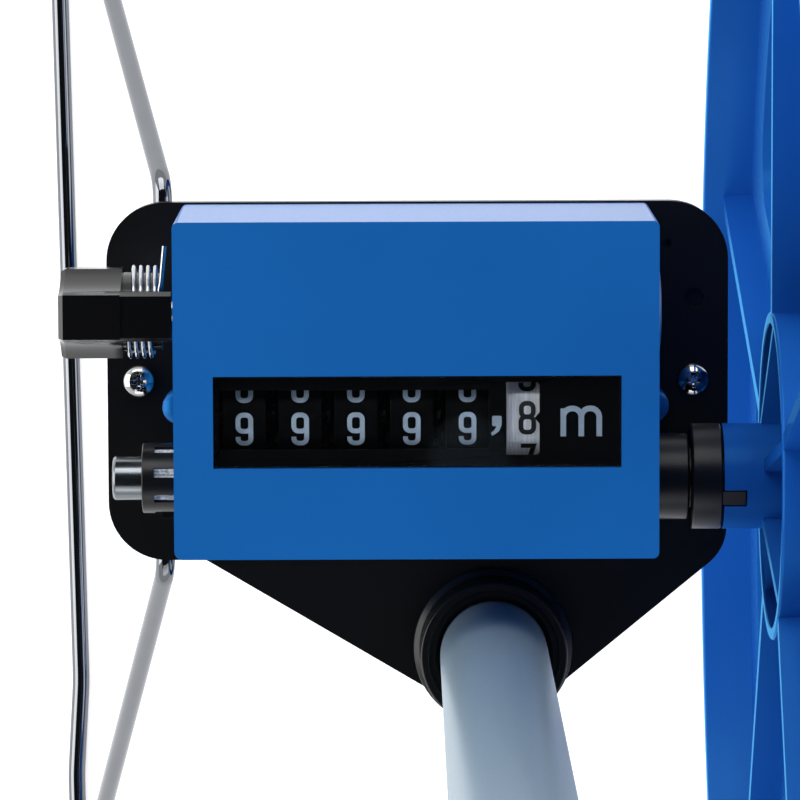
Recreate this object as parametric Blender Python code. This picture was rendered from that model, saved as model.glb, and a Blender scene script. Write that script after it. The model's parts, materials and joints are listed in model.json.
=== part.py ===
"""Measuring wheel with a telescopic tube, a roller counter and a folding wire stand.

The object is parked: the tube stands upright, and the weight rests on the wheel and on the wire stand. +X runs along
the axle from the counter to the wheel, +Y is the way it rolls, and +Z runs up the tube. Sizes and places are written
in millimetres from the middle of the axle line, and UNIT turns them into the scene's metres. A root empty then lifts
everything, so that the ground is at Z = 0 and the origin is under the middle of the object.
"""

import math

import bmesh
import bpy
from mathutils import Vector
from mathutils.geometry import tessellate_polygon

UNIT = 0.001
GAP = 0.3  # left between pieces that touch

# Wheel: one turn rolls one metre
TYRE_RADIUS = 1000 / (2 * math.pi)
WHEEL_SEGMENTS = 72
GROUND = -TYRE_RADIUS * math.cos(math.pi / WHEEL_SEGMENTS)  # a flat of the tyre lies on the ground
RIM_LEFT, RIM_RIGHT = 69.6, 93.6
RIM_MIDDLE = (RIM_LEFT + RIM_RIGHT) / 2
RIM_INNER, RIM_BED, RIM_FLANGE = 150.4, 153.6, 156.4
WEB_THICKNESS = 2.4
SPOKES = 5
SPOKE_PHASE = math.radians(-72)  # one spoke points straight ahead, along +Y
SPOKE_WEB_HALF, SPOKE_RIB = 14.0, 3.5
RIB_LEFT, RIB_RIGHT = 74.0, 89.2
OPENING_INNER, OPENING_OUTER = 37.0, 126.0
HUB_RADIUS, HUB_LEFT, HUB_RIGHT = 10.7, 64.1, 92.6
HUB_RING_RADIUS = 33.0
DOG_ANGLE = math.radians(109.3)
DOG_SLOT, DOG_TONGUE, DOG_DEPTH = 3.6, 3.0, 4.5

# Axle, its bush and the sleeve that the drive collar runs in
AXLE_RADIUS, AXLE_LEFT, AXLE_RIGHT = 4.4, -58.0, 101.6
BUSH_RADIUS, BUSH_LEFT, BUSH_RIGHT = 7.1, -52.0, -39.8
BUSH_SLOTS, BUSH_SLOT_WIDTH = 8, 1.7
SLEEVE_RADIUS, SLEEVE_LEFT, SLEEVE_RIGHT = 8.7, 44.9, 57.3
COLLAR_RADIUS, COLLAR_LEFT, COLLAR_RIGHT = 10.7, 57.7, 63.8
DRIVE_TUBE_RADIUS = 6.3

# Plates: the counter's base lies on the mounting plate
BASE_TOP, BASE_THICKNESS = -21.5, 2.0
PLATE_TOP, PLATE_THICKNESS = -23.8, 2.0
PLATE_BOTTOM = PLATE_TOP - PLATE_THICKNESS
PLATE_LEFT, PLATE_RIGHT, PLATE_REAR, PLATE_FRONT = -60.3, 66.8, -19.5, 54.1
PLATE_CORNER = 12.0
PLATE_SCREWS = ((-53.8, 17.5), (59.7, 17.5))
COVER_SCREWS = ((-45.4, 12.7), (51.0, 12.7))

# Cover and window
COVER_FRONT, COVER_WALL = 30.5, 1.8
COVER_LEFT, COVER_RIGHT, COVER_REAR, COVER_FORE = -44.4, 50.0, -12.6, 53.2
COVER_DRAFT = 0.5  # how much wider each side is at the back
WINDOW_LEFT, WINDOW_RIGHT, WINDOW_REAR, WINDOW_FORE = -36.7, 42.7, 5.2, 23.2
PILLAR_RADIUS, PILLAR_TOP = 3.4, -13.0

# Counter works
DRUM_Y, DRUM_Z, DRUM_RADIUS = 14.2, 13.0, 13.5
DRUM_PITCH, DIGIT_DRUMS = 10.88, 5
LAST_DIGIT_X = 12.8
DIGIT_RING_HALF = 4.2
TENTHS_LEFT, TENTHS_RIGHT = 20.5, 27.5
SHAFT_RADIUS = 2.0
DRUM_TEETH, PINION_TEETH = 20, 8
PINION_REACH = 14.9  # from the drums' axis to the pinions' axis
PINION_ANGLE = math.radians(-50)
PINION_SHAFT_RADIUS = 1.2
GEAR_LEFT, GEAR_RIGHT = 36.6, 40.4
WALL_THICKNESS = 2.0
LEFT_WALL, RIGHT_WALL = -41.5, 42.5  # the left face of each upright wall of the base

# Reset lever
LEVER_Y, LEVER_Z = 33.9, 4.0
LEVER_LEFT, LEVER_HEAD_RIGHT, LEVER_RIGHT = -67.4, -55.1, -45.9
LEVER_BAR_RIGHT = -45.3
SPRING_RADIUS, SPRING_WIRE, SPRING_PITCH = 9.0, 0.45, 1.4

# Wire stand
STAND_WIRE = 2.0
STAND_X = -49.0
STAND_Z = PLATE_BOTTOM - GAP - STAND_WIRE

# Telescopic tube
TUBE_X, TUBE_Y = 18.6, -37.9
TUBE_RADIUS, TUBE_WALL = 11.0, 1.0
TUBE_FOOT, TUBE_HEAD = -21.2, 471.6
SOCKET_RADIUS, SOCKET_TOP = 15.0, -9.5
UPPER_RADIUS, UPPER_FOOT, UPPER_HEAD = 9.6, 110.0, 640.0
GRIP_FOOT, GRIP_HEAD = 520.0, 640.3

# Middle of the object's box along X, seen from the middle of the axle line
MIDDLE_X = 10.05

# Colours (red, green, blue), roughness and metallic of each finish
LOOKS = {
    "blue_moulding": ((0.02, 0.14, 0.62), 0.3, 0.0),
    "blue_cover": ((0.03, 0.16, 0.60), 0.35, 0.0),
    "black_moulding": ((0.012, 0.012, 0.014), 0.4, 0.0),
    "black_paint": ((0.01, 0.01, 0.012), 0.45, 0.2),
    "drum_black": ((0.01, 0.01, 0.01), 0.5, 0.0),
    "drum_silver": ((0.75, 0.76, 0.78), 0.35, 0.6),
    "chrome": ((0.80, 0.81, 0.83), 0.12, 1.0),
    "steel": ((0.55, 0.56, 0.58), 0.3, 1.0),
    "tube_silver": ((0.60, 0.63, 0.67), 0.4, 0.8),
    "clear": ((0.9, 0.92, 0.94), 0.05, 0.0),
    "rubber": ((0.02, 0.02, 0.02), 0.8, 0.0),
    "white_moulding": ((0.75, 0.75, 0.72), 0.5, 0.0),
}


# ---------------------------------------------------------------- outlines


def polar(radius, angle, centre=(0.0, 0.0)):
    return (centre[0] + radius * math.cos(angle), centre[1] + radius * math.sin(angle))


def arc(centre, radius, start, end, steps):
    return [polar(radius, start + (end - start) * i / steps, centre) for i in range(steps + 1)]


def circle(centre, radius, segments, phase=0.0):
    return [polar(radius, phase + 2 * math.pi * i / segments, centre) for i in range(segments)]


def rounded(corners, step=math.radians(18)):
    """A closed outline through the corners (x, y, bend radius), with each corner turned into an arc."""
    points = []
    for i, (x, y, radius) in enumerate(corners):
        here = Vector((x, y))
        before = (Vector(corners[i - 1][:2]) - here).normalized()
        after = (Vector(corners[(i + 1) % len(corners)][:2]) - here).normalized()
        turn = before.angle(after)
        if radius <= 0:
            points.append((x, y))
            continue
        inset = radius / math.tan(turn / 2)
        centre = here + (before + after).normalized() * radius / math.sin(turn / 2)
        first, last = here + before * inset - centre, here + after * inset - centre
        start = math.atan2(first.y, first.x)
        sweep = (math.atan2(last.y, last.x) - start + math.pi) % (2 * math.pi) - math.pi
        steps = max(1, math.ceil(abs(sweep) / step))
        points += arc(centre, radius, start, start + sweep, steps)
    return points


def gear_outline(centre, teeth, pitch_radius, phase, above=0.7, below=0.95):
    """Trapezoid teeth. One tooth's middle lies at the angle phase."""
    points = []
    pitch = 2 * math.pi / teeth
    for tooth in range(teeth):
        middle = phase + tooth * pitch
        for share, radius in ((-0.30, -below), (-0.13, above), (0.13, above), (0.30, -below)):
            points.append(polar(pitch_radius + radius, middle + share * pitch, centre))
    return points


def opening_outline(middle):
    """The outline of the gap between two spokes, round the angle middle, with rounded corners."""
    outer_round, inner_round = 12.0, 6.0
    half = math.pi / SPOKES
    outer_reach = OPENING_OUTER - outer_round
    inner_reach = OPENING_INNER + inner_round
    outer_away = math.asin((SPOKE_WEB_HALF + outer_round) / outer_reach)
    inner_away = math.asin((SPOKE_WEB_HALF + inner_round) / inner_reach)
    start, end = middle - half, middle + half
    quarter = math.pi / 2
    points = arc((0, 0), OPENING_OUTER, start + outer_away, end - outer_away, 9)
    centre = polar(outer_reach, end - outer_away)
    points += arc(centre, outer_round, end - outer_away, end + quarter, 4)[1:]
    centre = polar(inner_reach, end - inner_away)
    points += arc(centre, inner_round, end + quarter, end - inner_away + math.pi, 3)
    points += arc((0, 0), OPENING_INNER, end - inner_away, start + inner_away, 3)[1:-1]
    centre = polar(inner_reach, start + inner_away)
    points += arc(centre, inner_round, start + inner_away + math.pi, start + 3 * quarter, 3)
    centre = polar(outer_reach, start + outer_away)
    points += arc(centre, outer_round, start - quarter, start + outer_away, 4)[:-1]
    return points


# ---------------------------------------------------------------- solids, as bmeshes in millimetres


def point_on(axis, along, a, b):
    """A point from its place along an axis and its two places across it, in X, Y, Z order."""
    if axis == "X":
        return Vector((along, a, b))
    if axis == "Y":
        return Vector((a, along, b))
    return Vector((a, b, along))


def closed_up(solid):
    bmesh.ops.recalc_face_normals(solid, faces=solid.faces)
    if solid.calc_volume(signed=True) < 0:
        bmesh.ops.reverse_faces(solid, faces=solid.faces)
    return solid


def prism(axis, low, high, outline, holes=()):
    """The outline, with its holes, drawn out along an axis."""
    return loft(axis, (low, outline), (high, outline), holes)


def loft(axis, first, last, holes=()):
    """A solid between two outlines (place along the axis, points) of as many points each."""
    solid = bmesh.new()
    rings = [[], []]
    for end, (along, outline) in enumerate((first, last)):
        for loop in (outline, *holes):
            rings[end].append([solid.verts.new(point_on(axis, along, a, b)) for a, b in loop])
    flat = [[Vector((a, b, 0)) for a, b in loop] for loop in (first[1], *holes)]
    triangles = tessellate_polygon(flat)
    for ring in rings:
        verts = [vert for loop in ring for vert in loop]
        for triangle in triangles:
            solid.faces.new([verts[i] for i in triangle])
    for bottom, top in zip(*rings):
        for i in range(len(bottom)):
            j = (i + 1) % len(bottom)
            solid.faces.new((bottom[i], bottom[j], top[j], top[i]))
    return closed_up(solid)


def turned(axis, centre, profile, segments=32, phase=0.0):
    """The closed profile (place along the axis, radius) turned round the axis through centre."""
    solid = bmesh.new()
    rings = []
    for along, radius in profile:
        if radius == 0:
            rings.append([solid.verts.new(point_on(axis, along, *centre))] * segments)
            continue
        loop = circle(centre, radius, segments, phase)
        rings.append([solid.verts.new(point_on(axis, along, a, b)) for a, b in loop])
    for i, ring in enumerate(rings):
        before = rings[i - 1]
        for j in range(segments):
            k = (j + 1) % segments
            corners = dict.fromkeys((before[j], before[k], ring[k], ring[j]))
            if len(corners) > 2:
                solid.faces.new(list(corners))
    return closed_up(solid)


def rod(axis, centre, radius, low, high, segments=24, chamfer=0.0):
    profile = [(low, 0), (low, radius - chamfer), (high, radius - chamfer), (high, 0)]
    if chamfer:
        profile[2:2] = [(low + chamfer, radius), (high - chamfer, radius)]
    return turned(axis, centre, profile, segments)


def ring(axis, centre, inner, outer, low, high, segments=32):
    return turned(axis, centre, [(low, inner), (low, outer), (high, outer), (high, inner)], segments)


def block(low, high):
    outline = [(low[0], low[1]), (high[0], low[1]), (high[0], high[1]), (low[0], high[1])]
    return prism("Z", low[2], high[2], outline)


def radial_block(axis_low, axis_high, inner, outer, width, angle):
    """A block across the axle line that reaches from one radius to another at an angle."""
    along = Vector(polar(1, angle))
    across = Vector((-along.y, along.x)) * width / 2
    corners = [along * reach + across * side for reach, side in ((inner, -1), (outer, -1), (outer, 1), (inner, 1))]
    return prism("X", axis_low, axis_high, [tuple(corner) for corner in corners])


def sweep(path, normals, radius, sides, closed=False):
    """A round wire along the path. Each normal says how its section is turned."""
    solid = bmesh.new()
    count = len(path)
    rings = []
    for i, (place, normal) in enumerate(zip(path, normals)):
        before = path[i - 1] if closed or i else place
        after = path[(i + 1) % count] if closed or i < count - 1 else place
        along = (after - before).normalized()
        side = (normal - along * normal.dot(along)).normalized()
        up = along.cross(side)
        corners = circle((0, 0), radius, sides)
        rings.append([solid.verts.new(place + side * a + up * b) for a, b in corners])
    for i in range(count if closed else count - 1):
        ring_a, ring_b = rings[i], rings[(i + 1) % count]
        for j in range(sides):
            k = (j + 1) % sides
            solid.faces.new((ring_a[j], ring_a[k], ring_b[k], ring_b[j]))
    if not closed:
        solid.faces.new(rings[0])
        solid.faces.new(rings[-1])
    return closed_up(solid)


def bent(corners, step=math.radians(15)):
    """A closed path of straight runs through the corners (x, y, z, bend radius), with round bends."""
    points = []
    for i, (*place, radius) in enumerate(corners):
        here = Vector(place)
        before = (Vector(corners[i - 1][:3]) - here).normalized()
        after = (Vector(corners[(i + 1) % len(corners)][:3]) - here).normalized()
        inside = before.angle(after)
        centre = here + (before + after).normalized() * radius / math.sin(inside / 2)
        first = here + before * radius / math.tan(inside / 2) - centre
        last = here + after * radius / math.tan(inside / 2) - centre
        steps = max(2, math.ceil((math.pi - inside) / step))
        points += [centre + first.slerp(last, s / steps) * radius for s in range(steps + 1)]
    return points


def gathered(solids):
    """Solids that stay clear of each other, in one bmesh."""
    together = bmesh.new()
    mesh = bpy.data.meshes.new("gathered")
    for solid in solids:
        solid.to_mesh(mesh)
        solid.free()
        together.from_mesh(mesh)
    bpy.data.meshes.remove(mesh)
    return together


def combined(base, operation, *tools):
    """The base with each tool joined to it (UNION) or cut from it (DIFFERENCE)."""
    helpers = []
    for solid in (base, *tools):
        mesh = bpy.data.meshes.new("helper")
        solid.to_mesh(mesh)
        solid.free()
        helper = bpy.data.objects.new("helper", mesh)
        bpy.context.scene.collection.objects.link(helper)
        helpers.append(helper)
    for tool in helpers[1:]:
        modifier = helpers[0].modifiers.new("combine", "BOOLEAN")
        modifier.operation = operation
        modifier.object = tool
    bpy.context.view_layer.update()
    result = bmesh.new()
    result.from_object(helpers[0], bpy.context.evaluated_depsgraph_get())
    for helper in helpers:
        mesh = helper.data
        bpy.data.objects.remove(helper)
        bpy.data.meshes.remove(mesh)
    return result


def joined(base, *tools):
    return combined(base, "UNION", *tools)


def cut(base, *tools):
    return combined(base, "DIFFERENCE", *tools)


# ---------------------------------------------------------------- scene


def clear_scene():
    for thing in list(bpy.data.objects):
        bpy.data.objects.remove(thing)


def make_looks():
    for name, (colour, roughness, metallic) in LOOKS.items():
        look = bpy.data.materials.new(name)
        look.use_nodes = True
        shader = look.node_tree.nodes["Principled BSDF"]
        shader.inputs["Base Color"].default_value = (*colour, 1.0)
        shader.inputs["Roughness"].default_value = roughness
        shader.inputs["Metallic"].default_value = metallic
        look.diffuse_color = (*colour, 1.0)


def make_pivot(name, place, parent=None):
    """An empty on a joint's axis. The pieces that move with the joint hang from it."""
    pivot = bpy.data.objects.new(name, None)
    pivot.empty_display_size = 10 * UNIT
    pivot.parent = parent
    offset = Vector(place) - (Vector(parent["place"]) if parent else Vector((MIDDLE_X, 0, GROUND)))
    pivot.location = offset * UNIT
    pivot["place"] = tuple(place)
    bpy.context.scene.collection.objects.link(pivot)
    return pivot


def make_piece(name, solid, look, pivot):
    """The node: its mesh is moved to the pivot's own frame and turned into metres."""
    bmesh.ops.dissolve_degenerate(solid, edges=solid.edges, dist=1e-4)
    bmesh.ops.translate(solid, verts=solid.verts, vec=-Vector(pivot["place"]))
    bmesh.ops.scale(solid, verts=solid.verts, vec=(UNIT, UNIT, UNIT))
    mesh = bpy.data.meshes.new(name)
    solid.to_mesh(mesh)
    solid.free()
    mesh.shade_smooth()
    mesh.set_sharp_from_angle(angle=math.radians(30))
    mesh.materials.append(bpy.data.materials[look])
    piece = bpy.data.objects.new(name, mesh)
    piece.parent = pivot
    bpy.context.scene.collection.objects.link(piece)


# ---------------------------------------------------------------- wheel


def spoke_angles():
    return [SPOKE_PHASE + 2 * math.pi * i / SPOKES for i in range(SPOKES)]


def wheel_moulding():
    """Rim, web with five openings, spoke ribs, hub ring with gussets, and the hub with its dog slots."""
    axle = (0, 0)
    half_step = math.pi / WHEEL_SEGMENTS
    lip = 1.8
    rim_profile = [
        (RIM_LEFT, RIM_INNER + 1.0), (RIM_LEFT, RIM_FLANGE), (RIM_LEFT + lip, RIM_FLANGE),
        (RIM_LEFT + lip, RIM_BED), (RIM_RIGHT - lip, RIM_BED), (RIM_RIGHT - lip, RIM_FLANGE),
        (RIM_RIGHT, RIM_FLANGE), (RIM_RIGHT, RIM_INNER + 1.0), (RIM_MIDDLE, RIM_INNER),
    ]
    rim = turned("X", axle, rim_profile, WHEEL_SEGMENTS, half_step)
    web_edge = circle(axle, RIM_INNER + 1.6, WHEEL_SEGMENTS, half_step)
    openings = [opening_outline(angle + math.pi / SPOKES) for angle in spoke_angles()]
    web = prism("X", RIM_MIDDLE - WEB_THICKNESS / 2, RIM_MIDDLE + WEB_THICKNESS / 2, web_edge, openings)
    ribs = [radial_block(RIB_LEFT, RIB_RIGHT, 31.6, RIM_INNER + 1.2, SPOKE_RIB, a) for a in spoke_angles()]
    hub_ring = ring("X", axle, HUB_RING_RADIUS - 2.4, HUB_RING_RADIUS, RIB_LEFT - 0.2, RIB_RIGHT + 0.2, 40)
    hub = rod("X", axle, HUB_RADIUS, HUB_LEFT, HUB_RIGHT, 30)
    gusset_side = [(71.4, 0), (74.6, HUB_RING_RADIUS - 1), (88.6, HUB_RING_RADIUS - 1), (90.8, 0)]
    gussets = []
    for angle in spoke_angles():
        gusset = prism("Y", -1.3, 1.3, [(x, r + 6.5 * (r == 0)) for x, r in gusset_side])
        for vert in gusset.verts:
            vert.co.y, vert.co.z = polar(1, angle)[0] * vert.co.z - math.sin(angle) * vert.co.y, (
                math.sin(angle) * vert.co.z + math.cos(angle) * vert.co.y
            )
        gussets.append(closed_up(gusset))
    wheel = joined(rim, web, gathered(ribs), hub_ring)
    wheel = joined(wheel, hub)
    wheel = joined(wheel, *gussets)
    bore = rod("X", axle, AXLE_RADIUS + GAP, HUB_LEFT - 5, HUB_RIGHT + 5, 24)
    slots = []
    for angle in (DOG_ANGLE, DOG_ANGLE + math.pi):
        slots.append(radial_block(HUB_LEFT - 2, HUB_LEFT + DOG_DEPTH, 3.0, HUB_RADIUS + 2, DOG_SLOT, angle))
    return cut(wheel, bore, *slots)


def tyre():
    left, right = RIM_LEFT + 2.1, RIM_RIGHT - 2.1
    profile = [
        (left, RIM_BED + GAP), (left, TYRE_RADIUS - 1.6), (left + 1.4, TYRE_RADIUS),
        (right - 1.4, TYRE_RADIUS), (right, TYRE_RADIUS - 1.6), (right, RIM_BED + GAP),
    ]
    return turned("X", (0, 0), profile, WHEEL_SEGMENTS, math.pi / WHEEL_SEGMENTS)


def drive_collar():
    """The collar that the wheel's hub turns: two tongues in the hub's slots, and a tube."""
    bore = AXLE_RADIUS + GAP
    profile = [
        (GEAR_LEFT - 0.4, bore), (GEAR_LEFT - 0.4, DRIVE_TUBE_RADIUS), (COLLAR_LEFT, DRIVE_TUBE_RADIUS),
        (COLLAR_LEFT, COLLAR_RADIUS), (COLLAR_RIGHT, COLLAR_RADIUS), (COLLAR_RIGHT, bore),
    ]
    body = turned("X", (0, 0), profile, 28)
    tongues = []
    for angle in (DOG_ANGLE, DOG_ANGLE + math.pi):
        end = HUB_LEFT + DOG_DEPTH - GAP
        tongues.append(radial_block(
            COLLAR_RIGHT - 2, end, bore + 0.4, COLLAR_RADIUS - 0.4, DOG_TONGUE, angle))
    return joined(body, *tongues)


def build_wheel(pivot, frame):
    make_piece("wheel", wheel_moulding(), "blue_moulding", pivot)
    make_piece("tyre", tyre(), "rubber", pivot)
    make_piece("drive_collar", drive_collar(), "black_moulding", pivot)
    pair_angle = math.atan2(DRUM_Z, DRUM_Y)
    pitch_radius = math.hypot(DRUM_Y, DRUM_Z) / 2
    outline = gear_outline((0, 0), DRUM_TEETH, pitch_radius, pair_angle)
    bore = circle((0, 0), DRIVE_TUBE_RADIUS + GAP, 20)
    make_piece("drive_gear", prism("X", GEAR_LEFT, GEAR_RIGHT, outline, [bore]), "white_moulding", pivot)
    axle = turned("X", (0, 0), [
        (AXLE_LEFT, 0), (AXLE_LEFT, AXLE_RADIUS - 0.9), (AXLE_LEFT + 0.9, AXLE_RADIUS), (93.0, AXLE_RADIUS),
        (93.0, 3.9), (AXLE_RIGHT - 0.6, 3.9), (AXLE_RIGHT, 3.2), (AXLE_RIGHT, 0),
    ], 24)
    make_piece("axle", axle, "chrome", frame)
    make_piece("axle_washer", ring("X", (0, 0), 4.2, 9.0, 93.3, 94.9, 24), "chrome", frame)
    nut = cut(
        prism("X", 95.2, 100.4, circle((0, 0), 7.5, 6)),
        rod("X", (0, 0), 3.9 + GAP, 94, 102, 16),
    )
    make_piece("axle_nut", nut, "chrome", frame)


def build_axle_bearings(frame):
    bush = ring("X", (0, 0), AXLE_RADIUS + GAP, BUSH_RADIUS, BUSH_LEFT, BUSH_RIGHT, 32)
    bush = joined(bush, block((-48.3, -8.0, -1.6), (-44.0, -6.4, 1.6)))
    slots = []
    for i in range(BUSH_SLOTS):
        angle = math.radians(75) + 2 * math.pi * i / BUSH_SLOTS
        slots.append(radial_block(-49.5, -44.4, 4.2, BUSH_RADIUS + 2, BUSH_SLOT_WIDTH, angle))
    make_piece("axle_bush", cut(bush, *slots), "black_moulding", frame)
    bore = DRIVE_TUBE_RADIUS + GAP
    profile = [
        (SLEEVE_LEFT, bore), (SLEEVE_LEFT, SLEEVE_RADIUS + 2.2), (SLEEVE_LEFT + 1.4, SLEEVE_RADIUS + 2.2),
        (SLEEVE_LEFT + 1.4, SLEEVE_RADIUS), (SLEEVE_RIGHT, SLEEVE_RADIUS), (SLEEVE_RIGHT, bore),
    ]
    make_piece("axle_sleeve", turned("X", (0, 0), profile, 30), "black_moulding", frame)


# ---------------------------------------------------------------- plates and their screws


def plate_rectangle():
    r = PLATE_CORNER
    return rounded([
        (PLATE_LEFT, PLATE_REAR, r), (PLATE_RIGHT, PLATE_REAR, r),
        (PLATE_RIGHT, PLATE_FRONT, r), (PLATE_LEFT, PLATE_FRONT, r),
    ])


def plate_outline():
    """A rounded rectangle that tapers to a rounded tip under the tube."""
    r = PLATE_CORNER
    return rounded([
        (PLATE_LEFT, PLATE_REAR, r), (-41.0, PLATE_REAR, 0), (6.0, -47.3, 0), (12.5, -51.0, 0),
        (26.5, -51.0, 0), (33.0, -45.5, 0), (PLATE_RIGHT, -17.8, 10.0),
        (PLATE_RIGHT, PLATE_FRONT, r), (PLATE_LEFT, PLATE_FRONT, r),
    ])


def pan_screw(x, y, seat, tip, head_radius=3.3, head_height=2.3, shank=1.5):
    """A pan head above seat and a shank down to tip, with the cross recess in the head."""
    direction = 1 if seat > tip else -1
    top = seat + direction * head_height
    profile = [
        (tip, 0), (tip, shank - 0.4), (tip + direction * 0.6, shank), (seat, shank), (seat, head_radius),
        (seat + direction * head_height * 0.4, head_radius), (top - direction * 0.5, head_radius * 0.8),
        (top, head_radius * 0.4), (top, 0),
    ]
    screw = turned("Z", (x, y), profile, 16)
    depth = sorted((top - direction * head_height * 0.6, top + direction))
    reach, half = head_radius * 0.57, head_radius * 0.12
    across = block((x - reach, y - half, depth[0]), (x + reach, y + half, depth[1]))
    along = block((x - half, y - reach, depth[0]), (x + half, y + reach, depth[1]))
    return cut(screw, joined(across, along))


def counter_base():
    """The counter's black floor with the two upright walls that carry its shafts."""
    screw_holes = [circle(place, 1.9, 12) for place in PLATE_SCREWS + COVER_SCREWS]
    floor = prism("Z", BASE_TOP - BASE_THICKNESS, BASE_TOP, plate_rectangle(), screw_holes)
    wall = [(-9.0, BASE_TOP - 1), (49.0, BASE_TOP - 1), (49.0, 12.0), (45.0, 18.0), (30.0, 25.5), (-9.0, 25.5)]
    pinion = polar(PINION_REACH, PINION_ANGLE, (DRUM_Y, DRUM_Z))
    shared = [
        circle((DRUM_Y, DRUM_Z), SHAFT_RADIUS + GAP, 12),
        circle(pinion, PINION_SHAFT_RADIUS + GAP, 10),
        circle((LEVER_Y, LEVER_Z), SHAFT_RADIUS + GAP, 12),
    ]
    bush_hole = circle((0, 0), BUSH_RADIUS + GAP, 24)
    left = prism("X", LEFT_WALL, LEFT_WALL + WALL_THICKNESS, wall, [bush_hole, *shared])
    right_hole = circle((0, 0), DRIVE_TUBE_RADIUS + 0.6, 24)
    right = prism("X", RIGHT_WALL, RIGHT_WALL + WALL_THICKNESS, wall, [right_hole, *shared])
    return joined(floor, left, right)


def build_plates(frame):
    make_piece("counter_base", counter_base(), "black_moulding", frame)
    holes = [circle(place, 1.9, 12) for place in PLATE_SCREWS + COVER_SCREWS]
    holes.append(circle((TUBE_X, TUBE_Y), 3.4, 16))
    plate = prism("Z", PLATE_BOTTOM, PLATE_TOP, plate_outline(), holes)
    make_piece("mounting_plate", plate, "black_paint", frame)
    for side, (x, y) in zip(("left", "right"), PLATE_SCREWS):
        screw = pan_screw(x, y, BASE_TOP + GAP, PLATE_BOTTOM - 3.6)
        make_piece("plate_screw_" + side, screw, "chrome", frame)
    for side, (x, y) in zip(("left", "right"), COVER_SCREWS):
        screw = pan_screw(x, y, PLATE_BOTTOM - GAP, PILLAR_TOP - 5.0, 1.9, 1.3, 1.2)
        make_piece("cover_screw_" + side, screw, "chrome", frame)


# ---------------------------------------------------------------- counter


def cover_outline(inset, spread):
    """The cover's outline, inset by the wall and spread by the draft. One corner is cut off."""
    left, right = COVER_LEFT + inset - spread, COVER_RIGHT - inset + spread
    rear, fore = COVER_REAR + inset - spread, COVER_FORE - inset + spread
    corners = [(left, rear, 1.6), (right, rear, 1.1), (right, fore, 1.1), (left, fore, 1.1)]
    return rounded(corners, math.radians(46))


def counter_cover():
    """A box that is open at the back, with a window, lever bosses, screw pillars and axle notches."""
    back = BASE_TOP + GAP
    shell = loft("Z", (back, cover_outline(0, COVER_DRAFT)), (COVER_FRONT, cover_outline(0, 0)))
    sides = ((-1, COVER_LEFT, 1.0, COVER_SCREWS[0]), (1, COVER_RIGHT, 1.7, COVER_SCREWS[1]))
    for side, face, swell, pillar_place in sides:
        boss = [(face - side * 3, 0), (face - side * 3, 12.4), (face + side * 0.3, 12.4)]
        boss += [(face + side * swell * 0.8, 8.6), (face + side * swell, 0)]
        pillar = [(back, 0), (back, PILLAR_RADIUS), (PILLAR_TOP - 1.6, PILLAR_RADIUS)]
        pillar += [(PILLAR_TOP - 0.5, PILLAR_RADIUS * 0.75), (PILLAR_TOP, 0)]
        shell = joined(
            shell,
            turned("X", (LEVER_Y, LEVER_Z), boss, 28),
            turned("Z", pillar_place, pillar, 16),
        )
    hollow = loft("Z", (back - 1, cover_outline(COVER_WALL, COVER_DRAFT)),
                  (COVER_FRONT - COVER_WALL, cover_outline(COVER_WALL, 0)))
    shell = cut(shell, hollow)
    window = block((WINDOW_LEFT, WINDOW_REAR, 20), (WINDOW_RIGHT, WINDOW_FORE, COVER_FRONT + 2))
    cutters = [window, rod("X", (LEVER_Y, LEVER_Z), SHAFT_RADIUS + 0.4, -60, -30, 12)]
    for x, y in COVER_SCREWS:
        cutters.append(rod("Z", (x, y), 1.2 + GAP, back - 2, PILLAR_TOP - 4, 12))
    for low, high, radius in ((-60, -38, BUSH_RADIUS + 1.2), (46.6, 60, SLEEVE_RADIUS + 0.5)):
        arch = arc((0, 0), radius, 0, math.pi, 12) + [(-radius, back - 2), (radius, back - 2)]
        cutters.append(prism("X", low, high, arch))
    return cut(shell, *cutters)


def window_mask():
    """The black plate behind the window: two slots for the drums and a pointer at the tenths drum."""
    outline = [(WINDOW_LEFT - 2, WINDOW_REAR - 2), (WINDOW_RIGHT + 2, WINDOW_REAR - 2),
               (WINDOW_RIGHT + 2, WINDOW_FORE + 2), (WINDOW_LEFT - 2, WINDOW_FORE + 2)]
    digits = [(-35.6, 8.7), (16.9, 8.7), (16.9, 20.3), (-35.6, 20.3)]
    left, right, rear, fore, pointer = 20.3, 26.8, 7.5, 21.8, 14.7
    tenths = [(left, rear), (right, rear), (right, pointer - 1.1), (right - 0.95, pointer),
              (right, pointer + 1.1), (right, fore), (left, fore)]
    return prism("Z", 27.4, 28.4, outline, [digits, tenths])


def drum(left, right, with_gear, with_carry, carry_angle):
    """A number ring, with a toothed wheel at its right and a two-toothed carry wheel at its left."""
    axis = (DRUM_Y, DRUM_Z)
    bore = SHAFT_RADIUS + GAP
    body = ring("X", axis, bore, DRUM_RADIUS, left, right, 30)
    gear_radius = PINION_REACH * DRUM_TEETH / (DRUM_TEETH + PINION_TEETH)
    parts = []
    if with_gear:
        phase = PINION_ANGLE + math.pi / DRUM_TEETH
        outline = gear_outline(axis, DRUM_TEETH, gear_radius, phase)
        parts.append(prism("X", right - 0.5, right + 0.9, outline, [circle(axis, bore + 0.4, 8)]))
    if with_carry:
        half = math.radians(9)
        outline = arc(axis, 8.0, carry_angle + 2 * half, carry_angle - 2 * half + 2 * math.pi, 12)
        outline += arc(axis, PINION_REACH - 5.3, carry_angle - half, carry_angle + half, 2)
        parts.append(prism("X", left - 0.9, left + 0.5, outline, [circle(axis, bore + 0.4, 8)]))
    return joined(body, *parts) if parts else body


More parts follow.
